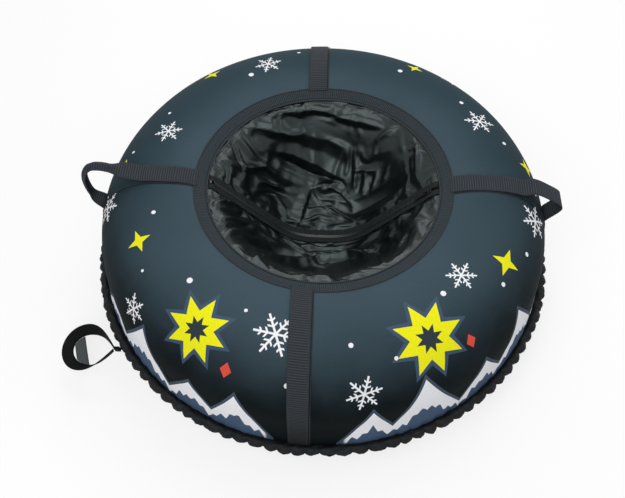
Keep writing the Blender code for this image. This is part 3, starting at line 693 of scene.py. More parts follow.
def ribbed_webbing(name, dark, light, pitch=0.0048):
    """Woven strap: ribs across it, a finer weave between, plain edges, and painted shade that darkens it low
    on the ring.
    """
    finish = Finish(name, Specular_IOR_Level=0.12)
    across, along = finish.flat()
    up = finish.parts(finish.place())[2]
    wander = finish.flat_noise(across * 60.0, along * 40.0) - 0.5
    edge = (abs(across) - 0.0172).ramp(0.0, 0.0016)
    body = (along + wander * 0.0006).ribs(pitch) * (1.0 - edge) + edge * 0.6
    cord = across.ribs(0.0022) * along.ribs(pitch / 3)
    fuzz = finish.flat_noise(across * 2200.0, along * 2200.0)
    shade = body.between(0.45, 1.0) * cord.between(0.8, 1.0) * fuzz.between(0.8, 1.2)
    # Painted shade: the webbing darkens towards the bottom of the ring
    low_painted_shade = up.ramp(0.07, 0.26).between(0.15, 1.0)
    finish.output("Base Color", finish.colour(shade.least(1.0) * low_painted_shade, dark, light))
    finish.output("Roughness", body.between(0.9, 0.66))
    finish.bump(body + cord * 0.25, 0.8, 0.0008)
    return finish.material


def taffeta():
    finish = Finish("shiny_seat_taffeta", Specular_IOR_Level=0.42, Specular_Tint=(0.82, 0.98, 1.0))
    place = finish.place()
    threads = weave(*finish.flat(), 0.0007)
    cloud = finish.noise(place, 14.0, 4.0, 0.6)
    finish.output("Base Color", finish.colour(cloud, (0.0010, 0.0015, 0.0016), (0.0040, 0.0056, 0.0059)))
    finish.output("Roughness", cloud.between(0.24, 0.36) + threads * 0.03)
    crush = finish.noise(place, 45.0, 5.0, 0.62, 0.8)
    large = finish.noise(place, 16.0, 3.0, 0.5, 0.6)
    finish.bump(crush * 0.5 + large * 0.5 + threads * 0.02, 0.4, 0.0016)
    return finish.material


def scaled(colour, factor):
    return tuple(part * factor for part in colour)


def plain_cloth(name, colour, roughness, grain=0.0012, crease=0.5, specular=0.3):
    finish = Finish(name, Specular_IOR_Level=specular)
    place = finish.place()
    mottle = finish.noise(place, 60.0, 4.0, 0.6)
    threads = finish.noise(place, 1.0 / grain, 2.0)
    finish.output("Base Color", finish.colour(mottle * 0.6 + threads * 0.4, colour, scaled(colour, 2.2)))
    finish.output("Roughness", mottle.between(roughness - 0.08, roughness + 0.08))
    finish.bump(finish.noise(place, 30.0, 4.0, 0.55, 0.5) * crease + threads * 0.15, 0.6, 0.0015)
    return finish.material


def woven_tape(name, dark, light, pitch):
    """Narrow tape whose ribs run across it."""
    finish = Finish(name, Roughness=0.8, Specular_IOR_Level=0.12)
    across, along = finish.flat()
    body = along.ribs(pitch) * 0.70 + across.ribs(0.0016) * 0.30
    fuzz = finish.flat_noise(across * 700.0, along * 700.0, 3.0, 0.65)
    finish.output("Base Color", finish.colour(body * fuzz.between(0.35, 1.45), dark, light))
    finish.bump(body + fuzz * 0.5, 0.8, 0.0008)
    return finish.material


def metal_or_plastic(name, colour, roughness, metallic):
    finish = Finish(name, Metallic=metallic)
    place = finish.place()
    wear = finish.noise(place, 120.0)
    finish.output("Base Color", finish.colour(wear, scaled(colour, 0.8), scaled(colour, 1.25)))
    finish.output("Roughness", wear.between(roughness - 0.1, roughness + 0.1))
    finish.bump(finish.noise(place, 400.0, 2.0), 0.15, 0.0004)
    return finish.material


def thread_finish(name, colour):
    finish = Finish(name, Specular_IOR_Level=0.3)
    fuzz = finish.noise(finish.place(), 900.0, 2.0)
    finish.output("Base Color", finish.colour(fuzz, scaled(colour, 0.7), colour))
    finish.output("Roughness", fuzz.between(0.6, 0.8))
    return finish.material


WEBBING = ribbed_webbing("ribbed_black_webbing", (0.003, 0.0034, 0.004), (0.046, 0.054, 0.064))
TOW_WEBBING = ribbed_webbing("tow_webbing", (0.0016, 0.0018, 0.002), (0.0085, 0.009, 0.0105), 0.0036)
TAFFETA = taffeta()
COVER_CLOTH = cover_cloth()
HEM_CLOTH = plain_cloth("gathered_hem_cloth", (0.0022, 0.0026, 0.0032), 0.62, specular=0.2)
BASE_CLOTH = plain_cloth("coated_base_cloth", (0.008, 0.0085, 0.0095), 0.42, 0.002, 0.4, 0.45)
SEAM_CLOTH = plain_cloth("seam_ridge", (0.0035, 0.005, 0.006), 0.7)
STRIP_CLOTH = plain_cloth("coated_strip", (0.020, 0.027, 0.026), 0.45)
BINDING_TAPE = woven_tape("binding_tape", (0.006, 0.009, 0.011), (0.054, 0.070, 0.082), 0.0040)
ZIP_TAPE = woven_tape("zip_tape", (0.003, 0.004, 0.0045), (0.024, 0.031, 0.033), 0.0036)
PIPING = plain_cloth("piping_cloth", (0.010, 0.012, 0.014), 0.7)
THREAD = thread_finish("dark_thread", (0.045, 0.050, 0.056))


# The cover and its base


def cover_offset(turn, share, rows_length):
    """How far the cover cloth stands off its plain shape: swells, and puckers above the hem."""
    lap = turn / TURN
    left = (1.0 - share) * rows_length
    swell = Unevenness(3)(lap * 16, share * 5.0) * SWELL * eased(share / 0.1) * eased(left / 0.03)
    gather = np.abs(np.cos(SCALLOPS * turn / 2)) - 0.55
    uneven = 0.75 + 0.5 * Unevenness(5)(lap * 52, 0.0)
    reach = 0.030 + 0.022 * Unevenness(6)(lap * 26, 0.0)
    puckers = gather * uneven * PUCKER * eased(1.0 - left / np.maximum(reach, 0.012))
    stray = Unevenness(8)(lap * 64, share * 9.0) * STRAY * eased(1.0 - left / 0.11)
    return swell + puckers + stray


def make_cover():
    profile, lengths = resampled(cover_profile(), COVER_CELLS[1] + 1)
    slope = np.gradient(profile, axis=0)
    normal = np.stack([-slope[:, 1], slope[:, 0]], axis=1)
    normal /= np.linalg.norm(normal, axis=1)[:, None]
    normal *= np.sign(normal[0, 1])
    section = along_rows(np.hstack([profile, normal]))
    reach = lengths[-1]

    def place(across, along):
        turn = across * TURN
        off = cover_offset(turn, along, reach)
        radius, height, out, up = section(along)
        return around(radius + off * out, turn, height + off * up)

    def uv(across, along):
        return around(SEAM_RADIUS + along * reach, across * TURN, 0.0)[:2]

    mesh = mesh_from_grid("cover_cloth", COVER_CELLS, place, uv, closed=True)
    face_outwards(mesh, (0.0, 0.0, HALF_HEIGHT))
    nodes = [f"top_panel_{end}_{side}" for end in ("front", "rear") for side in ("left", "right")]
    cover = add_piece("cover_cloth", mesh, COVER_CLOTH, nodes=nodes)


def make_base():
    profile, lengths = resampled(base_profile(), BASE_CELLS[1] + 1)
    section = along_rows(profile)
    reach = lengths[-1]

    def place(across, along):
        turn = across * TURN
        radius, height = section(along)
        gather = (np.abs(np.cos(SCALLOPS * turn / 2)) - 0.5) * 0.0025 * eased((along - 0.86) / 0.14)
        ripple = Unevenness(21)(across * 32, along * 7.0) * 0.0014 * eased((along - 0.72) / 0.12)
        return around(radius + gather + ripple, turn, height)

    def uv(across, along):
        return around(along * reach, across * TURN, 0.0)[:2]

    mesh = mesh_from_grid("base_cloth", BASE_CELLS, place, uv, closed=True)
    face_outwards(mesh, (0.0, 0.0, 0.1))
    base = add_piece("base_cloth", mesh, BASE_CLOTH, nodes=["sliding_base"])


def make_hem():
    """The gathered roll: a lobed tube whose cloth is pinched between the lobes."""
    creases, twist = Unevenness(31), Unevenness(32)

    def place(across, along):
        turn, phase = across * TURN, along * TURN
        cell = across * 64
        bunched = 0.5 + 0.5 * twist(cell, 20.5)
        wave = np.abs(np.cos(SCALLOPS * turn / 2 + 1.1 * twist(cell, 40.5)))
        lobe = mixed(mixed(0.84, 0.50, bunched), 1.0, wave ** mixed(0.35, 0.85, bunched))
        size = ROLL_RADIUS * (0.93 + 0.10 * twist(cell, 30.5)) * lobe
        ridges = np.sin(phase * 5 + 3.0 * twist(cell, 0.5)) * 0.13 * (1.0 - wave)
        lumps = creases(cell * 5, along * 8.0) * 0.13 + creases(cell * 13, along * 3.0) * 0.06
        drop = creases(across * 32, 9.5) * 0.0032
        out = size * (1.0 + ridges + lumps)
        radius = HEM_RADIUS + size * 0.80 + out * np.cos(phase) * 1.04
        return around(radius, turn, HEM_HEIGHT + drop * 0.6 + out * np.sin(phase))

    mesh = mesh_from_grid("gathered_hem", HEM_CELLS, place, closed=True)
    rework(mesh, bmesh.ops.recalc_face_normals, "faces")
    add_piece("gathered_hem", mesh, HEM_CLOTH, nodes=["hem_gather"])


def turned_band(name, profile, finish, nodes=()):
    """A band turned round the opening from a closed outline of radius and height."""
    outline, lengths = resampled([*profile, profile[0]], 4 * len(profile) + 1)
    section = along_rows(outline)

    def place(across, along):
        radius, height = section(along)
        return around(radius, across * TURN, height)

    def uv(across, along):
        return along * lengths[-1], across * TURN * SEAM_RADIUS

    mesh = mesh_from_grid(name, (BAND_CELLS, len(outline) - 1), place, uv, closed=True)
    rework(mesh, bmesh.ops.recalc_face_normals, "faces")
    add_piece(name, mesh, finish, nodes=nodes)


def band_outline(inner, outer, lift, thickness, crown=0.0):
    """Closed outline of a tape lying on the cover between two radii."""
    turns = np.linspace(section_turn(inner), section_turn(outer), 9)
    share = np.linspace(-1.0, 1.0, 9)
    swell = crown * (1.0 - share**2)
    lower = [section_point(turn, lift) for turn in turns]
    upper = [section_point(turn, lift + thickness + rise) for turn, rise in zip(turns, swell)]
    return [*lower, *upper[::-1]]


def cord_outline(radius, lift, size, count=10):
    middle = section_point(section_turn(radius), lift + size)
    return [(middle[0] + size * math.cos(turn), middle[1] + size * math.sin(turn))
            for turn in np.linspace(0.0, TURN, count, endpoint=False)]


def make_binding():
    inner, outer = BINDING
    band = band_outline(inner, outer, GAP, thickness=0.0011, crown=0.0008)
    turned_band("binding_band", band, BINDING_TAPE, ["opening_binding"])
    turned_band("binding_piping_outer", cord_outline(outer + 0.0006, lift=0.0, size=0.0014), PIPING)
    turned_band("binding_piping_inner", cord_outline(inner + 0.0014, lift=0.0008, size=0.0019), PIPING)
    fold = band_outline(inner + 0.0045, inner + 0.0095, GAP + 0.0011, thickness=0.0007, crown=0.0006)
    turned_band("binding_fold", fold, BINDING_TAPE)


# Webbing


def strap_low():
    reach = STRAP_THICKNESS + GAP
    return HEM_HEIGHT + math.sqrt(ROLL_RADIUS**2 - (ROLL_RADIUS - reach) ** 2) + 4 * GAP


def make_long_straps():
    """Straps that lie on the round cover, bent to it across their width too."""
    profile, _ = resampled(cover_profile(STRAP_LIFT + STRAP_SWELL, STRAP_START, strap_low()), 141)
    for name, turn, aside in LONG_STRAPS:
        passed = how_far(stacked(beside(turn, profile[:, 0], aside, profile[:, 1])))
        line = along_rows(np.column_stack([profile, passed]))

        def place(across, along, line=line, turn=turn, aside=aside):
            radius, height, _ = line(along)
            return beside(turn, radius, aside + (across - 0.5) * STRAP_WIDTH, height)

        def uv(across, along, line=line):
            return (across - 0.5) * STRAP_WIDTH, line(along)[2]

        mesh = mesh_from_grid(name + "_webbing", (10, len(profile) - 1), place, uv)
        face_outwards(mesh, around(RING_RADIUS, turn, HALF_HEIGHT))
        add_piece(name + "_webbing", mesh, WEBBING, nodes=[name], thickness=STRAP_THICKNESS)


def smoothed(points, count=26):
    """A smooth curve through points."""
    points = [np.asarray(point, float) for point in points]
    ends = [2 * points[0] - points[1], *points, 2 * points[-1] - points[-2]]
    found = []
    for first, start, end, last in zip(ends, ends[1:], ends[2:], ends[3:]):
        for share in np.arange(count) / count:
            found.append(start + (end - first) * share / 2
                         + (first * 2 - start * 5 + end * 4 - last) * share**2 / 2
                         + (start * 3 - first - end * 3 + last) * share**3 / 2)
    found.append(points[-1])
    return np.array(found)


def handle_line(shares, root_radius):
    """Radius and height of a handle's webbing: from the binding, through its loop, and down to the hem."""
    root_turn = section_turn(root_radius)
    start = section_turn(STRAP_START)
    turns = np.linspace(start, root_turn, 60)
    risen = eased(1.0 - (turns - root_turn) / (start - root_turn) / 0.4)
    lifts = mixed(STRAP_LIFT + ROOT_SWELL, ROOT_LIFT, risen)
    strap = np.array([section_point(turn, lift) for turn, lift in zip(turns, lifts)])
    root = np.array(section_point(root_turn, ROOT_LIFT))
    foot = np.array(section_point(turn_at_height(TAIL_TOP), STRAP_LIFT))
    lead = np.array(section_point(turn_at_height(TAIL_TOP + FOOT_LEAD), STRAP_LIFT + GAP))
    reach = TIP_RADIUS - root_radius
    loop = smoothed([root, *[root + np.array(share) * reach for share in shares], lead, foot])
    tail = cover_profile(STRAP_LIFT, root_radius, strap_low())
    tail = tail[tail[:, 1] < TAIL_TOP - 0.001]
    return strap, resampled(loop, 120)[0], resampled(tail, 50)[0]


def make_handle(side, turn, shares, grip_share):
    """One length of webbing: strap, loop and tail. A grip that is folded is narrower, and cupped."""
    strap, loop, tail = handle_line(shares, ROOT_RADIUS[side])
    profile, passed = resampled(np.concatenate([strap[:-1], loop, tail[1:]]), 300)
    start = how_far(strap)[-1]
    end = start + how_far(loop)[-1]
    into = eased((passed - start - ROOT_LENGTH) / ROOT_LENGTH)
    narrow = np.minimum(into, eased((end - passed) / (2 * ROOT_LENGTH)))
    widths = STRAP_WIDTH * mixed(1.0, grip_share, narrow)
    cupped = narrow * (grip_share < 1.0)
    lying = np.clip(1.0 - eased((passed - start) / 0.02) + eased((passed - end) / 0.01), 0.0, 1.0)
    outwards = np.array([math.cos(turn), math.sin(turn), 0.0])
    sideways = np.array([-math.sin(turn), math.cos(turn), 0.0])
    points = stacked(around(profile[:, 0], turn, profile[:, 1]))
    slope = np.gradient(points, axis=0)
    normal = np.cross(slope / np.linalg.norm(slope, axis=1)[:, None], sideways)
    line = along_rows(np.column_stack([points, normal, profile[:, 0], widths, cupped, lying, passed]))

    def place(across, along):
        x, y, z, *off, radius, width, cup, lies, _ = line(along)
        aside = across - 0.5
        cup = (np.cos(aside * TURN) * 0.5 - 0.1) * GRIP_CUP * cup
        sink = (radius - np.sqrt(radius**2 - (aside * width) ** 2)) * lies
        return tuple(middle + aside * width * sideways[k] + cup * off[k] - sink * outwards[k]
                     for k, middle in enumerate((x, y, z)))

    def uv(across, along):
        return (across - 0.5) * STRAP_WIDTH, line(along)[-1]

    nodes = [f"strap_{side}", f"handle_{side}_upper_root", f"handle_{side}_grip", f"handle_{side}_lower_root",
             f"strap_tail_{side}"]
    name = f"handle_{side}_webbing"
    mesh = mesh_from_grid(name, (12, len(points) - 1), place, uv)
    piece = add_piece(name, mesh, WEBBING, body=None, nodes=nodes, thickness=STRAP_THICKNESS)
    joint = next(one for one in frame["joints"] if one["name"] == f"{side}_handle_swing")
    outward = Vector(joint["axis"]).cross(Vector((0.0, 1.0, 0.0)))
    if outward.z < 0:
        outward = -outward
    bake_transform(piece)


# The tow loop


def tow_frame():
    turn = math.pi * TOW_STEP / SCALLOPS
    radius = HEM_RADIUS + GAP + 2 * float(roll_size(np.array(turn)))
    middle = Matrix.Rotation(turn, 4, "Z") @ Matrix.Translation((radius, 0.0, HEM_HEIGHT))
    return middle @ Matrix.Rotation(TOW_DROOP, 4, "Y") @ Matrix.Rotation(TOW_SWING, 4, "Z")


def tow_spot(turn, edge):
    """A place on the tow loop, from its turn round the loop and -1 to 1 from edge to edge."""
    share = np.abs(turn) / math.pi
    width = mixed(TOW_WIDTH, TOW_NECK, eased(2 * share - 1))
    lean = mixed(*TOW_LEAN, eased(share))
    reach = TOW_RADIUS * (1 + TOW_STRETCH * share**8)
    centre = TOW_ROOT + GAP + TOW_RADIUS * (1 + TOW_STRETCH)
    half = edge * width / 2
    out = reach + half * np.cos(lean)
    return centre + np.cos(turn) * out, np.sin(turn) * out, half * np.sin(lean)


def placed(matrix, points):
    rows = np.array(matrix)
    return tuple(rows[k, 0] * points[0] + rows[k, 1] * points[1] + rows[k, 2] * points[2] + rows[k, 3]
                 for k in range(3))


def make_tow_loop():
    matrix = tow_frame()
    mouth = TOW_THICKNESS / TOW_RADIUS

    def place(across, along):
        return placed(matrix, tow_spot(mixed(mouth - math.pi, math.pi - mouth, along), 2 * across - 1))

    def uv(across, along):
        return (across - 0.5) * STRAP_WIDTH * 0.95, along * TURN * TOW_RADIUS

    def strip(across, along):
        aside = STRIP_HALF * (2 * across - 1)
        edge = -1.0 - 6 * GAP / TOW_WIDTH
        first, last = tow_spot(STRIP_ENDS[0] - aside, edge), tow_spot(STRIP_ENDS[1] + aside, edge)
        middle = [mixed(one, other, along) for one, other in zip(first, last)]
        middle[2] = middle[2] + STRIP_RISE * np.sin(along * math.pi)
        return placed(matrix, middle)

    def strip_uv(across, along):
        return across * STRIP_FLAT[0], along * STRIP_FLAT[1]

    mesh = mesh_from_grid("tow_loop_webbing", (8, 120), place, uv)
    add_piece("tow_loop_webbing", mesh, TOW_WEBBING, "tow_loop", ["tow_loop"], TOW_THICKNESS)
    mesh = mesh_from_grid("tow_strip", (8, 16), strip, strip_uv)
    add_piece("tow_strip", mesh, STRIP_CLOTH, "tow_loop", ["tow_loop_tail"], TOW_THICKNESS)


# The seat


# Creases of the seat cloth: how high each stands in millimetres (below 0 it is a hollow), how far it slopes
# to its left and to its right, and the points it runs through
SEAT_FOLDS = (
    (12, 26, 9, (-177, 157), (-149, 183), (-104, 206), (-31, 221), (21, 212), (80, 193), (142, 168)),
    (-8, 10, 16, (-104, 193), (-31, 202), (22, 190), (59, 176), (96, 164), (130, 164)),
    (9, 12, 16, (-184, 148), (-152, 161), (-103, 174), (-56, 184), (-45, 179)),
    (6, 8, 26, (-52, 186), (3, 183), (49, 171)),
    (6, 24, 6, (-113, 143), (-74, 153), (-14, 150), (48, 125)),
    (-12, 8, 16, (-110, 139), (-66, 141), (-28, 136), (6, 132), (40, 122)),
    (5, 13, 13, (-193, 136), (-178, 122), (-151, 112), (-102, 113), (-35, 110)),
    (4, 8, 8, (-147, 80), (-102, 93), (-50, 95)),
    (5, 8, 9, (-180, 82), (-131, 112), (-98, 108)),
    (-5, 5, 6, (-197, 129), (-195, 107), (-184, 86), (-178, 68)),
    (4, 5, 4, (-192, 115), (-182, 94), (-175, 74)),
    (7, 8, 12, (-225, 70), (-229, 56), (-205, 66), (-180, 76), (-141, 103)),
    (5, 6, 10, (-231, 47), (-219, 88), (-202, 123)),
    (-5, 5, 5, (58, 203), (57, 178), (58, 146), (65, 118)),
    (4, 4, 12, (49, 171), (52, 152), (47, 129)),
    (4, 7, 8, (75, 174), (72, 143), (70, 116)),
    (8, 7, 14, (84, 161), (113, 163), (144, 168)),
    (4, 16, 12, (86, 151), (125, 140), (166, 129)),
    (-8, 5, 6, (167, 167), (174, 126), (182, 60)),
    (6, 6, 8, (183, 149), (195, 117), (199, 55)),
    (4, 5, 5, (69, 132), (68, 106)),
    (5, 5, 5, (93, 128), (86, 94)),
    (4, 5, 6, (116, 121), (104, 94)),
    (5, 6, 6, (138, 117), (128, 94)),
    (-4, 4, 4, (82, 129), (78, 100)),
    (-4, 4, 4, (108, 120), (97, 93)),
    (3, 5, 5, (62, 137), (87, 132), (113, 121)),
    (4, 4, 4, (10, 118), (41, 105), (68, 77)),
    (3, 3, 3, (38, 121), (49, 97)),
    (3, 4, 4, (19, 98), (64, 78)),
    (-14, 22, 16, (15, 79), (64, 61), (108, 70), (148, 70), (177, 61)),
    (7, 20, 4, (-55, 31), (-42, 80), (-32, 110)),
    (7, 4, 22, (-32, 110), (2, 121), (44, 122)),
    (-5, 4, 5, (-49, 75), (-4, 77), (39, 54), (65, 36)),
    (4, 4, 5, (8, 81), (38, 62), (80, 33)),
    (4, 6, 6, (-51, 36), (-10, 51), (35, 41)),
    (4, 4, 4, (-235, -22), (-233, -37)),
    (4, 4, 4, (-235, -22), (-233, -39)),
    (5, 5, 5, (-221, -19), (-217, -36)),
    (5, 5, 5, (-205, -12), (-201, -30)),
    (5, 6, 5, (-189, -7), (-185, -20)),
    (-9, 8, 9, (-232, -42), (-224, -74)),
    (7, 8, 9, (-222, -81), (-226, -63), (-210, -39), (-183, -16)),
    (-8, 10, 10, (-211, -69), (-186, -53), (-161, -17)),
    (5, 8, 8, (-208, -111), (-206, -94), (-159, -41)),
    (-4, 7, 7, (-205, -117), (-191, -112), (-155, -45)),
    (6, 8, 12, (-185, -146), (-187, -123), (-149, -44), (-123, -31)),
    (-11, 18, 14, (-181, -152), (-129, -88), (-36, -50)),
    (6, 7, 8, (-183, -149), (-162, -172), (-136, -180)),
    (4, 5, 6, (-99, -21), (-67, -29), (-33, -46)),
    (4, 5, 5, (-135, -50), (-90, -54)),
    (14, 9, 15, (-135, -193), (-89, -114), (-7, -68), (58, -57), (86, -69), (111, -117)),
    (-4, 3, 5, (-22, -37), (29, -35), (100, -53), (155, -132)),
    (4, 4, 10, (-18, -46), (48, -45), (107, -64)),
    (5, 12, 6, (114, -52), (134, -51), (156, -65), (158, -107)),
    (-6, 5, 5, (119, -69), (112, -176)),
    (5, 4, 5, (126, -84), (121, -182)),
    (-7, 4, 4, (157, -144), (166, -120), (175, -94)),
    (5, 5, 4, (150, -133), (162, -104), (173, -82)),
    (-4, 4, 4, (181, -50), (195, -59), (212, -77)),
    (5, 6, 5, (134, -30), (163, -31), (182, -30)),
    (4, 5, 5, (176, 0), (204, 3), (222, 1)),
    (3, 8, 5, (-115, -206), (-60, -219), (13, -218), (90, -142)),
)
FOLD_SPREAD = 1.25
FOLD_WANDER = 0.004
FOLD_RIDGES = 0.0030
CUP_RADII = np.linspace(0.0, SEAM_RADIUS, 200)
CUP_REACH = np.concatenate([[0.0], np.cumsum(np.hypot(np.diff(CUP_RADII), np.diff(cup_height(CUP_RADII))))])


def laid_flat(across, along):
    """Places on the seat cloth, measured over its bowl from the middle."""
    radius = np.hypot(across, along)
    scale = np.interp(radius, CUP_RADII, CUP_REACH) / np.maximum(radius, 1e-6)
    return across * scale, along * scale


def crease(across, along, line, left, right):
    """1 on a line, sloping to 0 at its left and right widths and past its ends."""
    steps = np.hypot(*np.diff(line, axis=0).T)
    passed = np.concatenate([[0.0], np.cumsum(steps)])
    best = np.zeros_like(across)
    for start, run, step, before in zip(line, np.diff(line, axis=0), steps, passed):
        off = (across - start[0], along - start[1])
        share = np.clip((off[0] * run[0] + off[1] * run[1]) / step**2, 0.0, 1.0)
        off = (off[0] - share * run[0], off[1] - share * run[1])
        width = np.where(run[0] * off[1] > run[1] * off[0], left, right)
        where = (before + share * step) / passed[-1]
        ends = 0.35 + 0.65 * eased(np.minimum(where, 1.0 - where) / 0.22)
        best = np.maximum(best, np.clip(1.0 - np.hypot(*off) / width, 0.0, 1.0) * ends)
    return best


def fold_height(across, along):
    """How far the crumpled seat cloth stands off its smooth bowl."""
    flat = laid_flat(across, along)
    bent = Unevenness(42)(flat[0] * 16, flat[1] * 16)
    aside = Unevenness(43)(flat[0] * 18, flat[1] * 18)
    wander = (flat[0] + FOLD_WANDER * bent, flat[1] + FOLD_WANDER * aside)
    total = 0.0
    for height, left, right, *line in SEAT_FOLDS:
        spots = np.stack(laid_flat(*np.array(line, float).T / 1000.0), axis=1)
        widths = (FOLD_SPREAD * left / 1000.0, FOLD_SPREAD * right / 1000.0)
        total = total + height / 1000.0 * crease(*wander, spots, *widths)
    ridged = 1.0 - 2.0 * np.abs(Unevenness(41)(flat[0] * 20 + 7, flat[1] * 20 + 3 + 1.4 * bent))
    total = total + FOLD_RIDGES * ridged + SEAT_STANDS_OFF
    rim = eased((SEAT_HELD[1] - np.hypot(across, along)) / 0.020)
    return total * rim * eased((np.abs(along) - TAPE_EDGES[1]) / RIM_EASE)


def make_seat():
    """The cloth hangs from the binding and the zip, and crumples where it is spare."""
    edge_radius = SEAM_RADIUS * math.cos(math.pi / OPENING_SIDES) - GAP
    first = math.asin(SEAT_CORNER / SEAM_RADIUS)
    for side, name in ((1, "rear"), (-1, "front")):

        def spread(across, along, side=side):
            turns = mixed(first, math.pi - first, 1 - across)
            return edge_radius * np.cos(turns), side * mixed(SEAT_EDGE, edge_radius * np.sin(turns), along)

        def place(across, along, spread=spread):
            x, y = spread(across, along)
            return x, y, seat_height(x, y)

        mesh = mesh_from_grid(f"seat_{name}", SEAT_CELLS, place, spread)
        if mesh.polygons[0].normal.z < 0.0:
            mesh.flip_normals()
        seat = add_piece(f"seat_{name}", mesh, TAFFETA, nodes=[f"seat_panel_{name}"])
        crumple(seat)
        finer = seat.modifiers.new("Finer", "SUBSURF")
        finer.levels = 1
        finer.render_levels = 1
        apply_modifiers(seat)
        smooth(seat.data)


def over_the_tube(points):
    """Keeps cloth out of the inflated ring."""
    radius = np.maximum(np.hypot(points[:, 0], points[:, 1]), 1e-6)
    across, up = radius - RING_RADIUS, points[:, 2] - HALF_HEIGHT
    size = np.abs(across / HALF_WIDTH) ** SECTION_POWER + np.abs(up / HALF_HEIGHT) ** SECTION_POWER
    size = np.maximum(size, 1e-6) ** (1 / SECTION_POWER)
    off = (size - 1.0) * HALF_WIDTH
    wanted = 0.5 * (off + np.sqrt(off**2 + 0.0016**2))
    scale = (1.0 + wanted / HALF_WIDTH) / size
    out = RING_RADIUS + across * scale
    return stacked((points[:, 0] * out / radius, points[:, 1] * out / radius, HALF_HEIGHT + up * scale))


def add_cloth(seat, pinned):
    """A light, soft cloth without weight that is a little too large and held at its pinned points."""
    held = seat.vertex_groups.new(name="held")
    held.add([int(index) for index in np.nonzero(pinned)[0]], 1.0, "REPLACE")
    cloth = seat.modifiers.new("Crumple", "CLOTH")
    facts = {
        "quality": 7, "mass": 0.15, "tension_stiffness": 20.0, "compression_stiffness": 20.0,
        "shear_stiffness": 8.0, "bending_stiffness": 0.8, "air_damping": 2.0, "vertex_group_mass": "held",
        "pin_stiffness": 1.0, "shrink_min": -SEAT_SPARE, "shrink_max": -SEAT_SPARE,
    }
    for name, value in facts.items():
        setattr(cloth.settings, name, value)
    cloth.settings.effector_weights.gravity = 0.0
    cloth.collision_settings.use_collision = False
    cloth.point_cache.frame_end = SEAT_FRAMES


def crumple(seat):
    """Lays the seat's folds, and lets a short cloth simulation wrinkle them between the rim and the zip."""
    mesh = seat.data
    rest = places_of(mesh.vertices)
    normal = places_of(mesh.vertex_normals, "vector")
    pinned = (np.abs(rest[:, 1]) < SEAT_HELD[0]) | (np.hypot(rest[:, 0], rest[:, 1]) > SEAT_HELD[1])

    def lay(points):
        points = np.where(pinned[:, None], rest, over_the_tube(points))
        mesh.vertices.foreach_set("co", points.ravel())
        mesh.update()
        return points

    start = lay(rest + normal * fold_height(rest[:, 0], rest[:, 1])[:, None])
    add_cloth(seat, pinned)
    scene = bpy.context.scene
    for number in range(1, SEAT_FRAMES + 1):
        scene.frame_set(number)
    moved = seat.evaluated_get(bpy.context.evaluated_depsgraph_get()).to_mesh()
    step = places_of(moved.vertices) - start
    seat.modifiers.clear()
    length = np.linalg.norm(step, axis=1)
    lay(start + step * (SEAT_LIMIT * np.tanh(length / SEAT_LIMIT) / np.maximum(length, 1e-9))[:, None])
    scene.frame_set(1)


def zip_line(count):
    """Points of the zip from left to right, equal steps apart, a little above the seat cloth."""
    across = np.linspace(-ZIP_END, ZIP_END, 900)
    height = zip_height(np.abs(across))
    slope = np.gradient(height, across)
    off = ZIP_LIFT / np.sqrt(1.0 + slope**2)
    return resampled(np.stack([across - slope * off, height + off], axis=1), count)


def make_zip():
    points, passed = zip_line(240)
    line = along_rows(points)
    wave = Unevenness(51)
    for side, name in ((1, "rear"), (-1, "front")):

        def place(across, along, side=side):
            out, height = line(along)
            lift = TAPE_RISE * across * (1.0 + wave(along * 50, side * 3.0))
            return out, side * mixed(*TAPE_EDGES, across), height + lift

        def uv(across, along):
            return across * (TAPE_EDGES[1] - TAPE_EDGES[0]), along * passed[-1]

        name = f"zip_tape_{name}"
        mesh = mesh_from_grid(name + "_cloth", (5, len(points) - 1), place, uv)
        add_piece(name + "_cloth", mesh, ZIP_TAPE, nodes=[name],
                  thickness=TAPE_THICKNESS)


# Stitching and seams


def stitch_rows(name, rows):
    """Short raised threads along rows. Each row is its points, the directions off the cloth, and a pitch."""
    pattern = bpy.data.meshes.new("stitch")
    rework(pattern, bmesh.ops.create_uvsphere, u_segments=6, v_segments=4, radius=1.0)
    scale = Matrix.Diagonal((STITCH_LENGTH / 2, STITCH_SIZE, STITCH_SIZE, 1.0))
    shape = bmesh.new()
    for points, normals, pitch in rows:
        points, normals = np.asarray(points, float), np.asarray(normals, float)
        lengths = how_far(points)
        for number in range(max(1, int(lengths[-1] / pitch))):
            row = np.interp((number + 0.5) * pitch, lengths, np.arange(len(points)))
            low = min(int(row), len(points) - 2)
            middle = Vector(mixed(points[low], points[low + 1], row - low))
            ahead = Vector(points[low + 1] - points[low]).normalized()
            side = Vector(mixed(normals[low], normals[low + 1], row - low)).cross(ahead).normalized()
            turned = Matrix((ahead, side, ahead.cross(side))).transposed().to_4x4()
            known = len(shape.verts)
            shape.from_mesh(pattern)
            shape.verts.ensure_lookup_table()
            bmesh.ops.transform(shape, matrix=Matrix.Translation(middle) @ turned @ scale,
                                verts=shape.verts[known:])
    mesh = bpy.data.meshes.new(name)
    shape.to_mesh(mesh)
    shape.free()
    bpy.data.meshes.remove(pattern)
    smooth(mesh)
    add_piece(name, mesh, THREAD)


def place_and_normal(radius, lift):
    """A place on the cover's section, lifted off it, and the direction off it."""
    turn = section_turn(radius)
    middle = np.array(section_point(turn, lift))
    return middle, np.array(section_point(turn, lift + 0.01)) - middle


def circle_row(radius, lift):
    turns = np.linspace(0.0, TURN, 400)
    middle, off = place_and_normal(radius, lift)
    return stacked(around(middle[0], turns, middle[1])), stacked(around(off[0], turns, off[1])), 0.0040


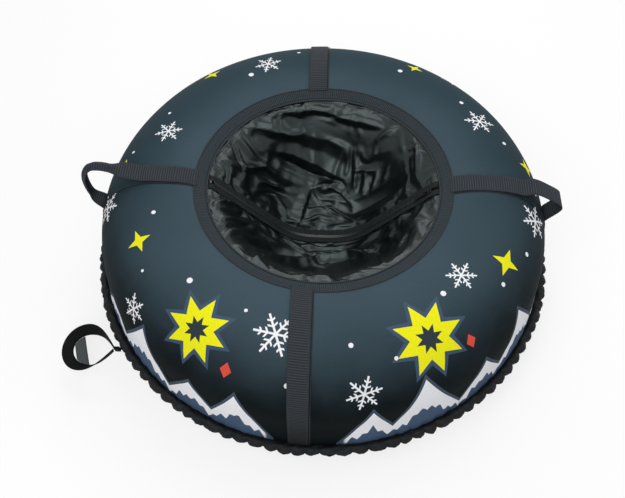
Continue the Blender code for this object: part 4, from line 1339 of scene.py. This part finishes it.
def make_stitching():
    rows = [circle_row(BINDING[1] - 0.0028, GAP + 0.0016), circle_row(BINDING[0] + 0.0125, GAP + 0.0022)]
    stitch_rows("binding_stitches", rows)
    over = STRAP_LIFT + STRAP_THICKNESS / 2
    line, _ = resampled(cover_profile(over + STRAP_SWELL, BINDING[1], strap_low()), 160)
    slope = np.gradient(line, axis=0)
    rows = []
    for _, turn, middle in LONG_STRAPS:
        for aside in (middle - STITCH_ASIDE, middle + STITCH_ASIDE):
            normal = stacked(around(-slope[:, 1], turn, slope[:, 0]))
            normal *= np.sign(normal[0, 2])
            rows.append((stacked(beside(turn, line[:, 0], aside, line[:, 1])), normal, 0.0042))
    for turn, radius in ((RIGHT, 0.372), (LEFT, 0.330), (LEFT, 0.336)):
        (out, height), off = place_and_normal(radius, over + ROOT_SWELL)
        ends = np.array([out - 0.0022, out + 0.0022])
        normal = [around(off[0], turn, off[1])] * 2
        for aside in np.arange(-0.0170, 0.0171, 0.0034):
            rows.append((stacked(beside(turn, ends, aside, height)), normal, 0.0044))
    stitch_rows("strap_stitches", rows)


def make_seams():
    """Ridges where the cover's panels are joined, beside the straps."""
    profile, _ = resampled(cover_profile(0.0003, BINDING[1], HEM_HEIGHT + 0.004), 150)
    line = along_rows(profile)

    def uv(across, along):
        return across * 0.002, along * 0.4

    for name, turn, middle in (("front", FRONT, FRONT_ASIDE + SEAM_ASIDE), ("right", RIGHT, -SEAM_ASIDE),
                               ("left", LEFT, SEAM_ASIDE), ("rear", REAR, REAR_ASIDE - SEAM_ASIDE)):

        def place(across, along, turn=turn, middle=middle):
            radius, height = line(along)
            return beside(turn, radius, middle + (across - 0.5) * SEAM_WIDTH, height + 0.0006, 0.0008)

        mesh = mesh_from_grid(f"panel_seam_{name}", (2, len(profile) - 1), place, uv)
        face_outwards(mesh, around(RING_RADIUS, turn, HALF_HEIGHT))
        add_piece(f"panel_seam_{name}", mesh, SEAM_CLOTH, thickness=0.0014)


# The rigid pieces keep their solids, and get a finish


def dress(finish, nodes):
    for node in nodes:
        materials = frame["nodes"][node].data.materials
        materials.clear()
        materials.append(finish)


def dress_nodes():
    for name, colour, roughness, metallic, nodes in (
        ("black_zip_metal", (0.022, 0.023, 0.025), 0.34, 0.75, ("zip_slider", "zip_pull")),
        ("zip_chain_plastic", (0.010, 0.011, 0.012), 0.42, 0.0,
         ("zip_teeth_front", "zip_teeth_rear", "zip_top_stop_front", "zip_top_stop_rear", "zip_bottom_stop")),
        ("valve_brass", (0.55, 0.40, 0.16), 0.3, 1.0, ("valve_stem", "valve_core", "valve_core_pin")),
        ("tube_rubber", (0.012, 0.012, 0.012), 0.6, 0.0, ("inner_tube", "valve_patch")),
        ("valve_cap_plastic", (0.02, 0.02, 0.02), 0.4, 0.0, ("valve_cap",)),
    ):
        dress(metal_or_plastic(name, colour, roughness, metallic), nodes)
    dress(TOW_WEBBING, ["tow_loop_root"])


# Floor, light and camera


def aim(item, place, target):
    item.location = place
    item.rotation_euler = (Vector(target) - Vector(place)).to_track_quat("-Z", "Y").to_euler()


def make_floor():
    """A pale floor that keeps the shadow and looks white."""
    mesh = bpy.data.meshes.new("floor")
    rework(mesh, bmesh.ops.create_grid, x_segments=2, y_segments=2, size=FLOOR_SIZE)
    floor = link("floor", mesh)
    floor.location.z = -FLOOR_DROP
    finish = Finish("pale_floor", Base_Color=(0.93, 0.93, 0.93), Roughness=0.85, Specular_IOR_Level=0.1)
    glow = finish.node("ShaderNodeEmission", None, {"Color": WHITE, "Strength": 1.0})
    finish.show_to_the_eye(finish.shader.outputs[0], glow, FLOOR_GLOW, "Material Output")
    mesh.materials.append(finish.material)


def make_world():
    """A soft light from all round, behind which the eye sees plain white."""
    world = bpy.data.worlds.new("studio")
    bpy.context.scene.world = world
    world.use_nodes = True
    sky = Nodes(world.node_tree)
    soft = sky.tree.nodes["Background"]
    sky.feed(soft.inputs["Color"], WHITE)
    sky.feed(soft.inputs["Strength"], WORLD_LIGHT)
    white = sky.node("ShaderNodeBackground", None, {"Color": WHITE, "Strength": 1.0})
    sky.show_to_the_eye(soft.outputs[0], white, 1.0, "World Output")


def make_lamps():
    for name, place, target, size, power in LAMPS:
        lamp = bpy.data.lights.new(name, "AREA")
        lamp.shape = "DISK"
        lamp.size = size
        lamp.energy = power
        aim(link(name, lamp), place, target)


def make_camera():
    lens = bpy.data.cameras.new("camera")
    lens.sensor_width = SENSOR_WIDTH
    lens.lens = FOCAL_PIXELS * SENSOR_WIDTH / PICTURE_WIDTH
    sway = Matrix.Rotation(CAMERA_SWAY, 4, "Z")
    item = link("camera", lens)
    aim(item, sway @ Vector(CAMERA_PLACE), sway @ Vector(CAMERA_TARGET))
    bpy.context.scene.camera = item


make_floor()
make_world()
make_lamps()
make_camera()
make_cover()
make_base()
make_hem()
make_binding()
make_long_straps()
make_handle("left", LEFT, LEFT_HANDLE, 0.55)
make_handle("right", RIGHT, RIGHT_HANDLE, 1.0)
make_tow_loop()
make_seat()
make_zip()
make_seams()
make_stitching()
dress_nodes()

bpy.context.scene.view_settings.view_transform = "Standard"
